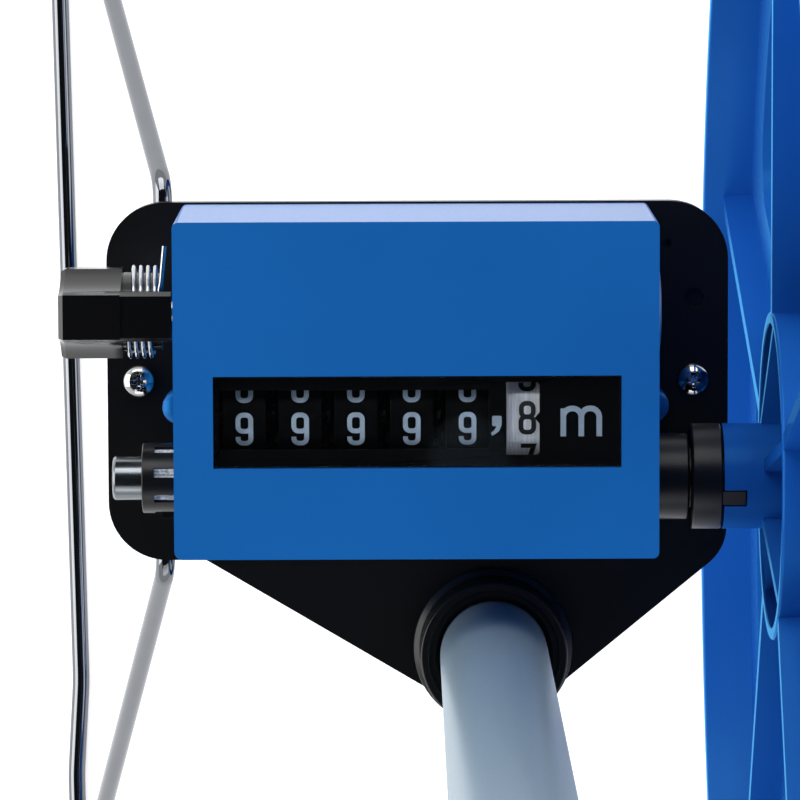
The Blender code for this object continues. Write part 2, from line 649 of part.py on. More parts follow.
def build_counter(frame, drum_pivots, pinion_pivots):
    make_piece("counter_cover", counter_cover(), "blue_cover", frame)
    lens = block(
        (WINDOW_LEFT + GAP, WINDOW_REAR + GAP, 28.8), (WINDOW_RIGHT - GAP, WINDOW_FORE - GAP, 30.1))
    make_piece("counter_window", lens, "clear", frame)
    make_piece("window_mask", window_mask(), "drum_black", frame)
    ends = (LEFT_WALL - 0.5, RIGHT_WALL + WALL_THICKNESS + 0.5)
    axis = (DRUM_Y, DRUM_Z)
    make_piece("drum_shaft", rod("X", axis, SHAFT_RADIUS, *ends, 16, 0.3), "steel", frame)
    pinion_axis = polar(PINION_REACH, PINION_ANGLE, axis)
    make_piece("pinion_shaft", rod("X", pinion_axis, PINION_SHAFT_RADIUS, *ends, 12, 0.2), "steel", frame)
    pinion_radius = PINION_REACH * PINION_TEETH / (DRUM_TEETH + PINION_TEETH)
    for i in range(DIGIT_DRUMS):
        middle = LAST_DIGIT_X - DRUM_PITCH * (DIGIT_DRUMS - 1 - i)
        left, right = middle - DIGIT_RING_HALF, middle + DIGIT_RING_HALF
        number = str(i + 1)
        solid = drum(left, right, True, i > 0, PINION_ANGLE + math.pi)
        make_piece("digit_drum_" + number, solid, "drum_black", drum_pivots[i])
        outline = gear_outline(pinion_axis, PINION_TEETH, pinion_radius, PINION_ANGLE + math.pi)
        bore = circle(pinion_axis, PINION_SHAFT_RADIUS + GAP, 10)
        pinion = prism("X", right + GAP, right + 2.1, outline, [bore])
        make_piece("transfer_pinion_" + number, pinion, "white_moulding", pinion_pivots[i])
    solid = drum(TENTHS_LEFT, TENTHS_RIGHT, False, True, PINION_ANGLE + math.pi / 4)
    make_piece("tenths_drum", solid, "drum_silver", drum_pivots[-1])
    pair_angle = math.atan2(DRUM_Z, DRUM_Y) + math.pi
    pitch_radius = math.hypot(DRUM_Y, DRUM_Z) / 2
    outline = gear_outline(axis, DRUM_TEETH, pitch_radius, pair_angle + math.pi / DRUM_TEETH)
    gear = prism("X", GEAR_LEFT, GEAR_RIGHT, outline, [circle(axis, SHAFT_RADIUS + GAP, 12)])
    sleeve = ring("X", axis, SHAFT_RADIUS + GAP, 5.0, TENTHS_RIGHT + GAP, GEAR_LEFT + 0.5, 16)
    make_piece("drum_gear", joined(gear, sleeve), "white_moulding", drum_pivots[-1])


# ---------------------------------------------------------------- reset lever


def reset_lever():
    """A thumb block with sloping faces, a flat bar over the spring, and the spring's drum."""
    front = 19.0
    outline = arc((LEVER_Y, LEVER_Z), 9.0, math.radians(-165), math.radians(-15), 7)
    outline += [(LEVER_Y + 8.9, 9.5), (LEVER_Y + 4.6, front - 1.0), (LEVER_Y + 3.9, front)]
    outline += [(LEVER_Y - 3.6, front), (LEVER_Y - 4.3, front - 1.0), (LEVER_Y - 8.9, 9.5)]
    middle = (LEVER_Y, 9.0)
    shrunk = [(middle[0] + (y - middle[0]) * 0.9, middle[1] + (z - middle[1]) * 0.9) for y, z in outline]
    head = loft("X", (LEVER_LEFT + 1.2, outline), (LEVER_HEAD_RIGHT, outline))
    tip = loft("X", (LEVER_LEFT + 1.2 + 0.01, outline), (LEVER_LEFT, shrunk))
    bar = prism("X", LEVER_HEAD_RIGHT - 3, LEVER_BAR_RIGHT, rounded([
        (29.0, 14.3, 0), (38.8, 14.3, 0), (38.8, 17.4, 0), (38.0, 18.6, 0), (29.8, 18.6, 0),
        (29.0, 17.4, 0)]))
    spool = rod("X", (LEVER_Y, LEVER_Z), 7.9, LEVER_HEAD_RIGHT - 2, LEVER_RIGHT - 1.6, 20)
    arm = block((LEVER_RIGHT - 1.4 - 0.6, 29.4, LEVER_Z), (LEVER_RIGHT - 0.1, 33.0, 15.4))
    lever = joined(head, tip)
    lever = joined(lever, bar)
    lever = joined(lever, spool)
    lever = joined(lever, arm)
    bore = rod("X", (LEVER_Y, LEVER_Z), SHAFT_RADIUS + GAP, LEVER_LEFT + 3.2, LEVER_RIGHT + 3, 12)
    return cut(lever, bore)


def reset_spring():
    """A torsion spring round the lever's spool. Its free leg points forward under the bar."""
    turns, steps = 4.0, 12
    count = int(turns * steps)
    path, normals = [], []
    for i in range(count + 1):
        angle = math.pi / 2 + 2 * math.pi * i / steps
        along = -54.2 + SPRING_PITCH * i / steps
        y, z = polar(SPRING_RADIUS, angle, (LEVER_Y, LEVER_Z))
        path.append(Vector((along, y, z)))
        normals.append(Vector((0, math.cos(angle), math.sin(angle))))
    y = LEVER_Y
    leg = ((2.5, -48.2), (6.5, -47.4), (13.6, -46.7))
    path.reverse()
    normals.reverse()
    for reach, x in leg:
        path.insert(0, Vector((x, y + reach, LEVER_Z + SPRING_RADIUS - 0.05)))
        normals.insert(0, Vector((0, 0, 1)))
    return sweep(path, normals, SPRING_WIRE, 5)


def reset_comb():
    """The comb on the lever's shaft, with a finger for each drum."""
    axis = (LEVER_Y, LEVER_Z)
    sleeve = ring("X", axis, SHAFT_RADIUS + GAP, 3.6, -37.5, 27.5, 14)
    fingers = []
    first = LAST_DIGIT_X - DRUM_PITCH * (DIGIT_DRUMS - 1)
    for i in range(DIGIT_DRUMS + 1):
        x = first + DRUM_PITCH * i
        direction = Vector(polar(1, math.radians(62)))
        across = Vector((-direction.y, direction.x)) * 1.1
        base, tip = Vector(axis) + direction * 2.9, Vector(axis) + direction * 9.5
        outline = [tuple(p) for p in (base - across, tip - across, tip + across, base + across)]
        fingers.append(prism("X", x - 1.5, x + 1.5, outline))
    return joined(sleeve, gathered(fingers))


def build_lever(pivot, frame):
    make_piece("reset_lever", reset_lever(), "black_moulding", pivot)
    axis = (LEVER_Y, LEVER_Z)
    right = RIGHT_WALL + WALL_THICKNESS + 0.5
    shaft = rod("X", axis, SHAFT_RADIUS, LEVER_LEFT + 3.5, right, 16, 0.3)
    make_piece("reset_shaft", shaft, "steel", pivot)
    make_piece("reset_comb", reset_comb(), "white_moulding", pivot)
    make_piece("reset_spring", reset_spring(), "steel", frame)


# ---------------------------------------------------------------- stand


def stand_wire():
    """One closed loop: the pivot bar under the plate, two legs, and the base bar on the ground."""
    low = GROUND + STAND_WIRE
    path = bent([
        (STAND_X, 57.5, STAND_Z, 7),
        (-79.8, 143.0, low, 8),
        (-75.5, -66.0, low, 60),
        (-76.8, -88.0, low, 60),
        (-76.3, -118.0, low, 8),
        (STAND_X, -22.5, STAND_Z, 7),
    ])
    legs = Vector((-28, 0, low - STAND_Z)).normalized()
    normal = legs.cross(Vector((0, 1, 0)))
    return sweep(path, [normal] * len(path), STAND_WIRE, 8, closed=True)


def stand_clip():
    """A steel strip that one plate screw holds. It wraps round the stand's pivot bar."""
    under = PLATE_BOTTOM - GAP
    thickness, wrap = 1.2, STAND_WIRE + GAP
    outline = [(-58.0, under), (-58.0, under - thickness)]
    outline += arc((STAND_X, STAND_Z), wrap + thickness, math.radians(165), math.radians(370), 10)
    outline += [(STAND_X + wrap + thickness, under), (STAND_X + wrap, under)]
    outline += arc((STAND_X, STAND_Z), wrap, math.radians(360), math.radians(180), 9)
    outline += [(STAND_X - wrap, under)]
    strip = prism("Y", 15.6, 26.0, outline)
    return cut(strip, rod("Z", PLATE_SCREWS[0], 1.9, under - 6, under + 3, 16))


def build_stand(pivot, frame):
    make_piece("stand_wire", stand_wire(), "chrome", pivot)
    make_piece("stand_clip", stand_clip(), "steel", frame)


# ---------------------------------------------------------------- tube and handle


def tube_socket():
    """A stepped black collar on the plate's tip. Its inner shoulder is clamped under the tube's end."""
    foot = PLATE_TOP + GAP
    bore = TUBE_RADIUS + GAP
    profile = [
        (foot, 8.4), (foot, 16.4), (foot + 2.2, 16.4), (foot + 3.4, SOCKET_RADIUS),
        (SOCKET_TOP - 0.5, SOCKET_RADIUS), (SOCKET_TOP, SOCKET_RADIUS - 0.5), (SOCKET_TOP, 13.3),
        (SOCKET_TOP - 1.1, 13.1), (SOCKET_TOP - 1.1, 12.1),
        (SOCKET_TOP - 2.0, bore), (TUBE_FOOT - GAP, bore), (TUBE_FOOT - GAP, 8.4),
    ]
    return turned("Z", (TUBE_X, TUBE_Y), profile, 32)


def build_tube(frame):
    axis = (TUBE_X, TUBE_Y)
    inner = TUBE_RADIUS - TUBE_WALL
    make_piece("tube_socket", tube_socket(), "black_moulding", frame)
    lower = ring("Z", axis, inner, TUBE_RADIUS, TUBE_FOOT, TUBE_HEAD, 32)
    make_piece("lower_tube", lower, "tube_silver", frame)
    plug = turned("Z", axis, [
        (TUBE_FOOT + 0.2, 3.2), (TUBE_FOOT + 0.2, inner - GAP), (-2.0, inner - GAP), (-1.0, 8.6),
        (-1.0, 3.2)], 24)
    make_piece("tube_plug", plug, "black_moulding", frame)
    bolt = turned("Z", axis, [
        (PLATE_BOTTOM - 4.3, 0), (PLATE_BOTTOM - 4.3, 4.6), (PLATE_BOTTOM - 3.9, 5.0),
        (PLATE_BOTTOM - GAP, 5.0),
        (PLATE_BOTTOM - GAP, 2.9), (-5.0, 2.9), (-4.0, 2.0), (-4.0, 0)], 16)
    hexagon = prism("Z", PLATE_BOTTOM - 6, PLATE_BOTTOM - 2.2, circle(axis, 2.4, 6))
    make_piece("socket_bolt", cut(bolt, hexagon), "steel", frame)
    collet = turned("Z", axis, [
        (442, TUBE_RADIUS + GAP), (442, 14.0), (474, 14.0), (476, 13.0), (494, 12.0),
        (494, UPPER_RADIUS + 0.35),
        (TUBE_HEAD + 0.4, UPPER_RADIUS + 0.35), (TUBE_HEAD + 0.4, TUBE_RADIUS + GAP)], 24)
    slits = [block((TUBE_X - 0.6, TUBE_Y, 480), (TUBE_X + 0.6, TUBE_Y + 16, 496)),
             block((TUBE_X - 0.6, TUBE_Y - 16, 480), (TUBE_X + 0.6, TUBE_Y, 496))]
    make_piece("collet", cut(collet, *slits), "black_moulding", frame)


def build_handle(lock_pivot, handle_pivot):
    axis = (TUBE_X, TUBE_Y)
    collar = turned("Z", axis, [
        (456, 14.4), (456, 17.2), (458, 17.8), (497, 17.4), (500, 15.8), (500, UPPER_RADIUS + 0.6),
        (495.5, UPPER_RADIUS + 0.6), (495.5, 12.5), (476.5, 13.4), (475.5, 14.4)], 24)
    make_piece("lock_collar", collar, "black_moulding", lock_pivot)
    wall = 1.0
    upper = ring("Z", axis, UPPER_RADIUS - wall, UPPER_RADIUS, UPPER_FOOT, UPPER_HEAD, 28)
    make_piece("upper_tube", upper, "tube_silver", handle_pivot)
    guide = turned("Z", axis, [
        (UPPER_FOOT - 6, 6.0), (UPPER_FOOT - 6, 9.2), (UPPER_FOOT - 5, 9.65), (UPPER_FOOT - GAP, 9.65),
        (UPPER_FOOT - GAP, 8.3), (UPPER_FOOT + 14, 8.3), (UPPER_FOOT + 14, 6.0)], 20)
    make_piece("tube_guide", guide, "white_moulding", handle_pivot)
    grip = turned("Z", axis, [
        (GRIP_FOOT, UPPER_RADIUS + GAP), (GRIP_FOOT, 14.6), (GRIP_FOOT + 2, 16.2), (GRIP_FOOT + 8, 16.2),
        (GRIP_FOOT + 12, 14.2), (GRIP_FOOT + 45, 15.4), (GRIP_FOOT + 80, 14.8), (GRIP_HEAD - 14, 14.4),
        (GRIP_HEAD - 6, 16.0), (GRIP_HEAD, 15.6), (GRIP_HEAD, UPPER_RADIUS + GAP)], 24)
    make_piece("hand_grip", grip, "rubber", handle_pivot)
    cap = turned("Z", axis, [
        (GRIP_HEAD - 16, 0), (GRIP_HEAD - 16, 8.0), (GRIP_HEAD - 15, 8.3), (GRIP_HEAD + GAP, 8.3),
        (GRIP_HEAD + GAP, 15.4), (GRIP_HEAD + 3.0, 15.2), (GRIP_HEAD + 6.5, 12.6), (GRIP_HEAD + 8.4, 8.0),
        (GRIP_HEAD + 9.0, 0)], 24)
    make_piece("grip_cap", cap, "black_moulding", handle_pivot)


def main():
    clear_scene()
    make_looks()
    frame = make_pivot("frame_origin", (0, 0, 0))
    wheel_pivot = make_pivot("wheel_axis", (RIM_MIDDLE, 0, 0), frame)
    lever_pivot = make_pivot("lever_axis", (LEVER_LEFT, LEVER_Y, LEVER_Z), frame)
    stand_pivot = make_pivot("stand_axis", (STAND_X, 17.5, STAND_Z), frame)
    lock_pivot = make_pivot("lock_axis", (TUBE_X, TUBE_Y, 478), frame)
    handle_pivot = make_pivot("handle_axis", (TUBE_X, TUBE_Y, UPPER_FOOT), frame)
    drum_pivots = []
    pinion_pivots = []
    pinion_axis = polar(PINION_REACH, PINION_ANGLE, (DRUM_Y, DRUM_Z))
    for i in range(DIGIT_DRUMS):
        x = LAST_DIGIT_X - DRUM_PITCH * (DIGIT_DRUMS - 1 - i)
        drum_pivots.append(make_pivot(f"digit_axis_{i + 1}", (x, DRUM_Y, DRUM_Z), frame))
        pinion_pivots.append(make_pivot(f"pinion_axis_{i + 1}", (x + DRUM_PITCH / 2, *pinion_axis), frame))
    drum_pivots.append(make_pivot("tenths_axis", (TENTHS_LEFT, DRUM_Y, DRUM_Z), frame))
    build_wheel(wheel_pivot, frame)
    build_axle_bearings(frame)
    build_plates(frame)
    build_counter(frame, drum_pivots, pinion_pivots)
    build_lever(lever_pivot, frame)
    build_stand(stand_pivot, frame)
    build_tube(frame)
    build_handle(lock_pivot, handle_pivot)


main()
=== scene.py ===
"""Looks of the measuring wheel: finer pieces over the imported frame, materials, lights and camera."""

import json
import math

import bmesh
import bpy
from mathutils import Matrix, Vector
from mathutils.geometry import tessellate_polygon


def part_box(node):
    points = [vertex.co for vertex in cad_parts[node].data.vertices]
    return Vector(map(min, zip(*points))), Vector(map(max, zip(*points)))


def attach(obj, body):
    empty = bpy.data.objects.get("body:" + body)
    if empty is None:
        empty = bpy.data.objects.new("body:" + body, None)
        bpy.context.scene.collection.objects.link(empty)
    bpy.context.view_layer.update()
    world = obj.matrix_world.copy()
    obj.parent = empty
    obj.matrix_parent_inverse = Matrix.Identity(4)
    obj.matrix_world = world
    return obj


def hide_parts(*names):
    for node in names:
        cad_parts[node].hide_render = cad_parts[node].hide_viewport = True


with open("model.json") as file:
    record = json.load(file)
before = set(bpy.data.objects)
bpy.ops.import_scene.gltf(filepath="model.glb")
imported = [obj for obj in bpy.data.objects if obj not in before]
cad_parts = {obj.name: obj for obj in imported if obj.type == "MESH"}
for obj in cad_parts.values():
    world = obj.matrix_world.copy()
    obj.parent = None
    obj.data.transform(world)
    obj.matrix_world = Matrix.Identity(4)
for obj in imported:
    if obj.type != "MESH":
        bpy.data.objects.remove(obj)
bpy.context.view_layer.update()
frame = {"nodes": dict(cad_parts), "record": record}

# Places are in millimetres from the middle of the axle line. The frame's axle says where that is.
MM = 0.001
AXLE_LEFT = -58.0
AXLE_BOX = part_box("axle")
ORIGIN = Vector((AXLE_BOX[0].x - AXLE_LEFT * MM, (AXLE_BOX[0].y + AXLE_BOX[1].y) / 2,
                 (AXLE_BOX[0].z + AXLE_BOX[1].z) / 2))
TO_FRAME = Matrix.Translation(ORIGIN) @ Matrix.Scale(MM, 4)


def extent(node):
    """The node's lowest and highest corner in millimetres from the axle line."""
    low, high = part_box(node)
    return (low - ORIGIN) / MM, (high - ORIGIN) / MM


GROUND = -ORIGIN.z / MM
# Clearance between a bore and what runs in it, or between two seats
GAP = 0.3

# Wheel
TYRE_RADIUS = -GROUND
RIM_LEFT, RIM_RIGHT = extent("wheel")[1].x - 24.0, extent("wheel")[1].x
RIM_MIDDLE = (RIM_LEFT + RIM_RIGHT) / 2
RIM_INNER, RIM_BED, RIM_FLANGE = 150.4, 153.6, 156.3
WHEEL_SEGMENTS = 240
SPOKES = 5
SPOKE_PHASE = math.radians(-72)
SPOKE_WEB_HALF = 14.0
RIB_LEFT, RIB_RIGHT = 74.0, 89.2
OPENING_INNER, OPENING_OUTER = 37.0, 126.0
HUB_RADIUS, HUB_LEFT, HUB_RIGHT = 10.6, extent("wheel")[0].x, 92.5
HUB_RING_RADIUS = 33.0
DOG_ANGLE = math.radians(109.3)
DOG_SLOT, DOG_TONGUE, DOG_DEPTH = 3.6, 3.0, 4.5
AXLE_RADIUS, AXLE_SHOULDER, AXLE_THREAD, AXLE_RIGHT = 4.4, 93.0, 3.9, 101.6

# Counter
BASE_TOP, PLATE_TOP = -21.5, extent("mounting_plate")[1].z
PLATE_LEFT, PLATE_RIGHT, PLATE_REAR, PLATE_FRONT = -60.3, 66.8, -19.5, 54.1
PLATE_SCREWS = ((-53.8, 17.5), (59.7, 17.5))
COVER_SCREWS = ((-45.4, 12.7), (51.0, 12.7))
COVER_FRONT, COVER_WALL = extent("counter_cover")[1].z, 1.8
COVER_LEFT, COVER_RIGHT, COVER_REAR, COVER_FORE = -44.4, 50.0, -12.6, 53.2
WINDOW_LEFT, WINDOW_RIGHT, WINDOW_REAR, WINDOW_FORE = -36.7, 42.7, 5.2, 23.2
DRUM_Y, DRUM_Z = DRUM_LINE = 14.2, 13.0
DRUM_PITCH, DIGIT_DRUMS, LAST_DIGIT_X = 10.88, 5, 12.8
DRUM_RADIUS, DRUM_BORE = 13.58, 13.1

# Digits: rows round the drums, and what the strokes are like
DIGIT_STEP = math.radians(36)
NINE_ANGLE, EIGHT_ANGLE = math.radians(-7.2), math.radians(1.7)
STROKE, HALF_WIDE, HALF_HIGH = 0.94, 1.24, 2.84

# Reset lever
LEVER_Y, LEVER_Z = LEVER_PIVOT = 33.9, 4.0
LEVER_LEFT, LEVER_HEAD_RIGHT, LEVER_RIGHT, LEVER_BAR_RIGHT = -67.4, -55.3, -46.0, -45.3

# Stand and tube
STAND_WIRE = 2.0
STAND_X, STAND_Z = -49.0, -28.1
TUBE_X, TUBE_Y, TUBE_RADIUS = 18.6, -37.9, 11.0
TUBE_PLACE = (TUBE_X, TUBE_Y)

# Camera: its place, tilt and lens were chosen together to fit the photo's view
CAMERA_PLACE = Vector((0.0, 110.7, 953.4))
CAMERA_TILT, CAMERA_ROLL = math.radians(-5.7), math.radians(-0.22)
CAMERA_LENS = 215.1


# ---- outlines


def polar(radius, angle, centre=(0.0, 0.0)):
    return (centre[0] + radius * math.cos(angle), centre[1] + radius * math.sin(angle))


def arc(centre, radius, start, end, steps):
    return [polar(radius, start + (end - start) * i / steps, centre) for i in range(steps + 1)]


def circle(centre, radius, segments, phase=0.0):
    return [polar(radius, phase + 2 * math.pi * i / segments, centre) for i in range(segments)]


def rounded(corners, step=15, closed=True):
    """An outline through the corners (x, y, bend radius). Each bend is an arc with points every
    step degrees."""
    points = []
    step = math.radians(step)
    last_corner = len(corners) - 1
    for i, (x, y, radius) in enumerate(corners):
        if radius <= 0 or (not closed and i in (0, last_corner)):
            points.append((x, y))
            continue
        here = Vector((x, y))
        before = (Vector(corners[i - 1][:2]) - here).normalized()
        after = (Vector(corners[(i + 1) % len(corners)][:2]) - here).normalized()
        turn = before.angle(after)
        inset = radius / math.tan(turn / 2)
        centre = here + (before + after).normalized() * radius / math.sin(turn / 2)
        first, last = here + before * inset - centre, here + after * inset - centre
        start = math.atan2(first.y, first.x)
        swing = (math.atan2(last.y, last.x) - start + math.pi) % (2 * math.pi) - math.pi
        points += arc(centre, radius, start, start + swing, max(2, math.ceil(abs(swing) / step)))
    return points


def opening_outline(middle):
    """The gap between two spokes, round the angle middle, with rounded corners."""
    outer_round, inner_round = 12.0, 6.0
    half = math.pi / SPOKES
    outer_reach, inner_reach = OPENING_OUTER - outer_round, OPENING_INNER + inner_round
    outer_away = math.asin((SPOKE_WEB_HALF + outer_round) / outer_reach)
    inner_away = math.asin((SPOKE_WEB_HALF + inner_round) / inner_reach)
    start, end, quarter = middle - half, middle + half, math.pi / 2
    points = arc((0, 0), OPENING_OUTER, start + outer_away, end - outer_away, 30)
    points += arc(polar(outer_reach, end - outer_away), outer_round, end - outer_away, end + quarter, 10)[1:]
    centre = polar(inner_reach, end - inner_away)
    points += arc(centre, inner_round, end + quarter, end - inner_away + math.pi, 8)
    points += arc((0, 0), OPENING_INNER, end - inner_away, start + inner_away, 6)[1:-1]
    centre = polar(inner_reach, start + inner_away)
    points += arc(centre, inner_round, start + inner_away + math.pi, start + 3 * quarter, 8)
    centre = polar(outer_reach, start + outer_away)
    points += arc(centre, outer_round, start - quarter, start + outer_away, 10)[:-1]
    return points


# ---- solids, as bmeshes in millimetres


def point_on(axis, along, a, b):
    if axis == "X":
        return Vector((along, a, b))
    if axis == "Y":
        return Vector((a, along, b))
    return Vector((a, b, along))


def closed_up(solid):
    bmesh.ops.recalc_face_normals(solid, faces=solid.faces)
    if solid.calc_volume(signed=True) < 0:
        bmesh.ops.reverse_faces(solid, faces=solid.faces)
    return solid


def loft(axis, first, last, holes=()):
    """A solid between two outlines (place along the axis, points) of as many points each."""
    solid = bmesh.new()
    rings = [[], []]
    for end, (along, outline) in enumerate((first, last)):
        for loop in (outline, *holes):
            rings[end].append([solid.verts.new(point_on(axis, along, a, b)) for a, b in loop])
    for ring_set in rings:
        if len(ring_set) == 1:
            solid.faces.new(ring_set[0])
            continue
        flat = [[Vector((a, b, 0)) for a, b in loop] for loop in (first[1], *holes)]
        verts = [vert for loop in ring_set for vert in loop]
        for triangle in tessellate_polygon(flat):
            solid.faces.new([verts[i] for i in triangle])
    for bottom, top in zip(*rings):
        for i in range(len(bottom)):
            j = (i + 1) % len(bottom)
            solid.faces.new((bottom[i], bottom[j], top[j], top[i]))
    if holes:
        flats = [face for face in solid.faces if len(face.verts) == 3]
        edges = {edge for face in flats for edge in face.edges}
        bmesh.ops.dissolve_limit(solid, angle_limit=0.001, verts=[], edges=list(edges))
    return closed_up(solid)


def prism(axis, low, high, outline, holes=()):
    return loft(axis, (low, outline), (high, outline), holes)


def turned(axis, centre, profile, segments=96, phase=0.0):
    """The closed profile (place along the axis, radius) turned round the axis through centre."""
    solid = bmesh.new()
    rings = []
    for along, radius in profile:
        if radius == 0:
            rings.append([solid.verts.new(point_on(axis, along, *centre))] * segments)
            continue
        loop = circle(centre, radius, segments, phase)
        rings.append([solid.verts.new(point_on(axis, along, a, b)) for a, b in loop])
    for i, ring_now in enumerate(rings):
        before = rings[i - 1]
        for j in range(segments):
            k = (j + 1) % segments
            corners = dict.fromkeys((before[j], before[k], ring_now[k], ring_now[j]))
            if len(corners) > 2:
                solid.faces.new(list(corners))
    return closed_up(solid)


def tube(axis, centre, inner, outer, low, high, bend=0.4, segments=96):
    return turned(axis, centre, rounded([
        (low, inner, bend / 2), (low, outer, bend), (high, outer, bend), (high, inner, bend / 2)]), segments)


def block(low, high):
    outline = [(low[0], low[1]), (high[0], low[1]), (high[0], high[1]), (low[0], high[1])]
    return prism("Z", low[2], high[2], outline)


def bar_outline(inner, outer, width, angle, inner_width=None):
    """A bar across the axle line, from one radius to another at an angle."""
    along = Vector(polar(1, angle))
    across = Vector((-along.y, along.x)) / 2
    start = across * (width if inner_width is None else inner_width)
    end = across * width
    near, far = along * inner, along * outer
    return [tuple(p) for p in (near - start, far - end, far + end, near + start)]


def radial_block(low, high, inner, outer, width, angle, end_width=None):
    """A bar that can taper in thickness from its low face to its high face."""
    first = bar_outline(inner, outer, width, angle)
    last = bar_outline(inner, outer, width if end_width is None else end_width, angle)
    return loft("X", (low, first), (high, last))


def sweep(path, normals, radius, sides, closed=False):
    """A round wire along the path. Each normal says how its section is turned."""
    solid = bmesh.new()
    count = len(path)
    rings = []
    for i, (place, normal) in enumerate(zip(path, normals)):
        before = path[i - 1] if closed or i else place
        after = path[(i + 1) % count] if closed or i < count - 1 else place
        along = (after - before).normalized()
        side = (normal - along * normal.dot(along)).normalized()
        up = along.cross(side)
        rings.append([solid.verts.new(place + side * a + up * b) for a, b in circle((0, 0), radius, sides)])
    for i in range(count if closed else count - 1):
        for j in range(sides):
            k = (j + 1) % sides
            ring_a, ring_b = rings[i], rings[(i + 1) % count]
            solid.faces.new((ring_a[j], ring_a[k], ring_b[k], ring_b[j]))
    if not closed:
        solid.faces.new(rings[0])
        solid.faces.new(rings[-1])
    return closed_up(solid)


def bent(corners, step=math.radians(7)):
    """A closed path of straight runs through the corners (x, y, z, bend radius), with round bends."""
    points = []
    for i, (*place, radius) in enumerate(corners):
        here = Vector(place)
        before = (Vector(corners[i - 1][:3]) - here).normalized()
        after = (Vector(corners[(i + 1) % len(corners)][:3]) - here).normalized()
        inside = before.angle(after)
        centre = here + (before + after).normalized() * radius / math.sin(inside / 2)
        first = here + before * radius / math.tan(inside / 2) - centre
        last = here + after * radius / math.tan(inside / 2) - centre
        steps = max(3, math.ceil((math.pi - inside) / step))
        points += [centre + first.slerp(last, s / steps) * radius for s in range(steps + 1)]
    return points


def gathered(solids):
    """Solids that stay clear of each other, in one bmesh."""
    together = bmesh.new()
    mesh = bpy.data.meshes.new("gathered")
    for solid in solids:
        solid.to_mesh(mesh)
        solid.free()
        together.from_mesh(mesh)
    bpy.data.meshes.remove(mesh)
    return together


def combined(base, operation, *tools):
    """The base with each tool joined to it (UNION) or cut from it (DIFFERENCE)."""
    helpers = []
    for solid in (base, *tools):
        mesh = bpy.data.meshes.new("helper")
        solid.to_mesh(mesh)
        solid.free()
        helper = bpy.data.objects.new("helper", mesh)
        bpy.context.scene.collection.objects.link(helper)
        helpers.append(helper)
    for tool in helpers[1:]:
        modifier = helpers[0].modifiers.new("combine", "BOOLEAN")
        modifier.operation = operation
        modifier.object = tool
    bpy.context.view_layer.update()
    result = bmesh.new()
    result.from_object(helpers[0], bpy.context.evaluated_depsgraph_get())
    for helper in helpers:
        mesh = helper.data
        bpy.data.objects.remove(helper)
        bpy.data.meshes.remove(mesh)
    bmesh.ops.dissolve_degenerate(result, edges=result.edges, dist=1e-3)
    return result


def joined(base, *tools):
    return combined(base, "UNION", *tools)


def cut(base, *tools):
    return combined(base, "DIFFERENCE", *tools)


# ---- materials


def add_node(tree, kind, **settings):
    node = tree.nodes.new(kind)
    for name, value in settings.items():
        if hasattr(node, name):
            setattr(node, name, value)
        else:
            node.inputs[name.replace("_", " ")].default_value = value
    return node


def make_look(name, colour, roughness, metallic=0.0, blotch=(90, 0.12), grain=(1600, 0.06), rough_spread=0.06,
              stretch=(1, 1, 1), gloss=None, **sockets):
    """A Principled material. blotch is the (scale, share) of its slow colour change, grain the
    (scale, strength) of its fine bumps, and stretch squeezes both along an axis, as brushing or
    extruding does. A gloss colour gives the surface a tinted shine that grows toward its edges."""
    look = bpy.data.materials.new(name)
    look.use_nodes = True
    tree = look.node_tree
    shader = tree.nodes["Principled BSDF"]
    shader.inputs["Metallic"].default_value = metallic
    for socket, value in sockets.items():
        shader.inputs[socket.replace("_", " ")].default_value = value
    place = add_node(tree, "ShaderNodeTexCoord")
    mapping = add_node(tree, "ShaderNodeMapping", Scale=stretch)
    tree.links.new(place.outputs["Object"], mapping.inputs["Vector"])
    slow = add_node(tree, "ShaderNodeTexNoise", Scale=blotch[0], Detail=3.0)
    tree.links.new(mapping.outputs["Vector"], slow.inputs["Vector"])
    ramp = add_node(tree, "ShaderNodeValToRGB")
    ramp.color_ramp.elements[0].position, ramp.color_ramp.elements[1].position = 0.3, 0.7
    ramp.color_ramp.elements[0].color = (*(c * (1 - blotch[1]) for c in colour), 1)
    ramp.color_ramp.elements[1].color = (*(min(1.0, c * (1 + blotch[1])) for c in colour), 1)
    tree.links.new(slow.outputs["Fac"], ramp.inputs["Fac"])
    tree.links.new(ramp.outputs["Color"], shader.inputs["Base Color"])
    fine = add_node(tree, "ShaderNodeTexNoise", Scale=grain[0], Detail=4.0)
    tree.links.new(mapping.outputs["Vector"], fine.inputs["Vector"])
    spread = add_node(tree, "ShaderNodeMapRange", To_Min=max(0.0, roughness - rough_spread),
                      To_Max=roughness + rough_spread)
    tree.links.new(fine.outputs["Fac"], spread.inputs["Value"])
    tree.links.new(spread.outputs["Result"], shader.inputs["Roughness"])
    bump = add_node(tree, "ShaderNodeBump", Strength=grain[1], Distance=0.0002)
    tree.links.new(fine.outputs["Fac"], bump.inputs["Height"])
    tree.links.new(bump.outputs["Normal"], shader.inputs["Normal"])
    if gloss:
        shine = add_node(tree, "ShaderNodeBsdfGlossy", Color=(*gloss, 1), Roughness=roughness)
        edge = add_node(tree, "ShaderNodeLayerWeight", Blend=0.3)
        mix = add_node(tree, "ShaderNodeMixShader")
        tree.links.new(edge.outputs["Fresnel"], mix.inputs["Fac"])
        tree.links.new(shader.outputs["BSDF"], mix.inputs[1])
        tree.links.new(shine.outputs["BSDF"], mix.inputs[2])
        tree.links.new(mix.outputs["Shader"], tree.nodes["Material Output"].inputs["Surface"])
    return look


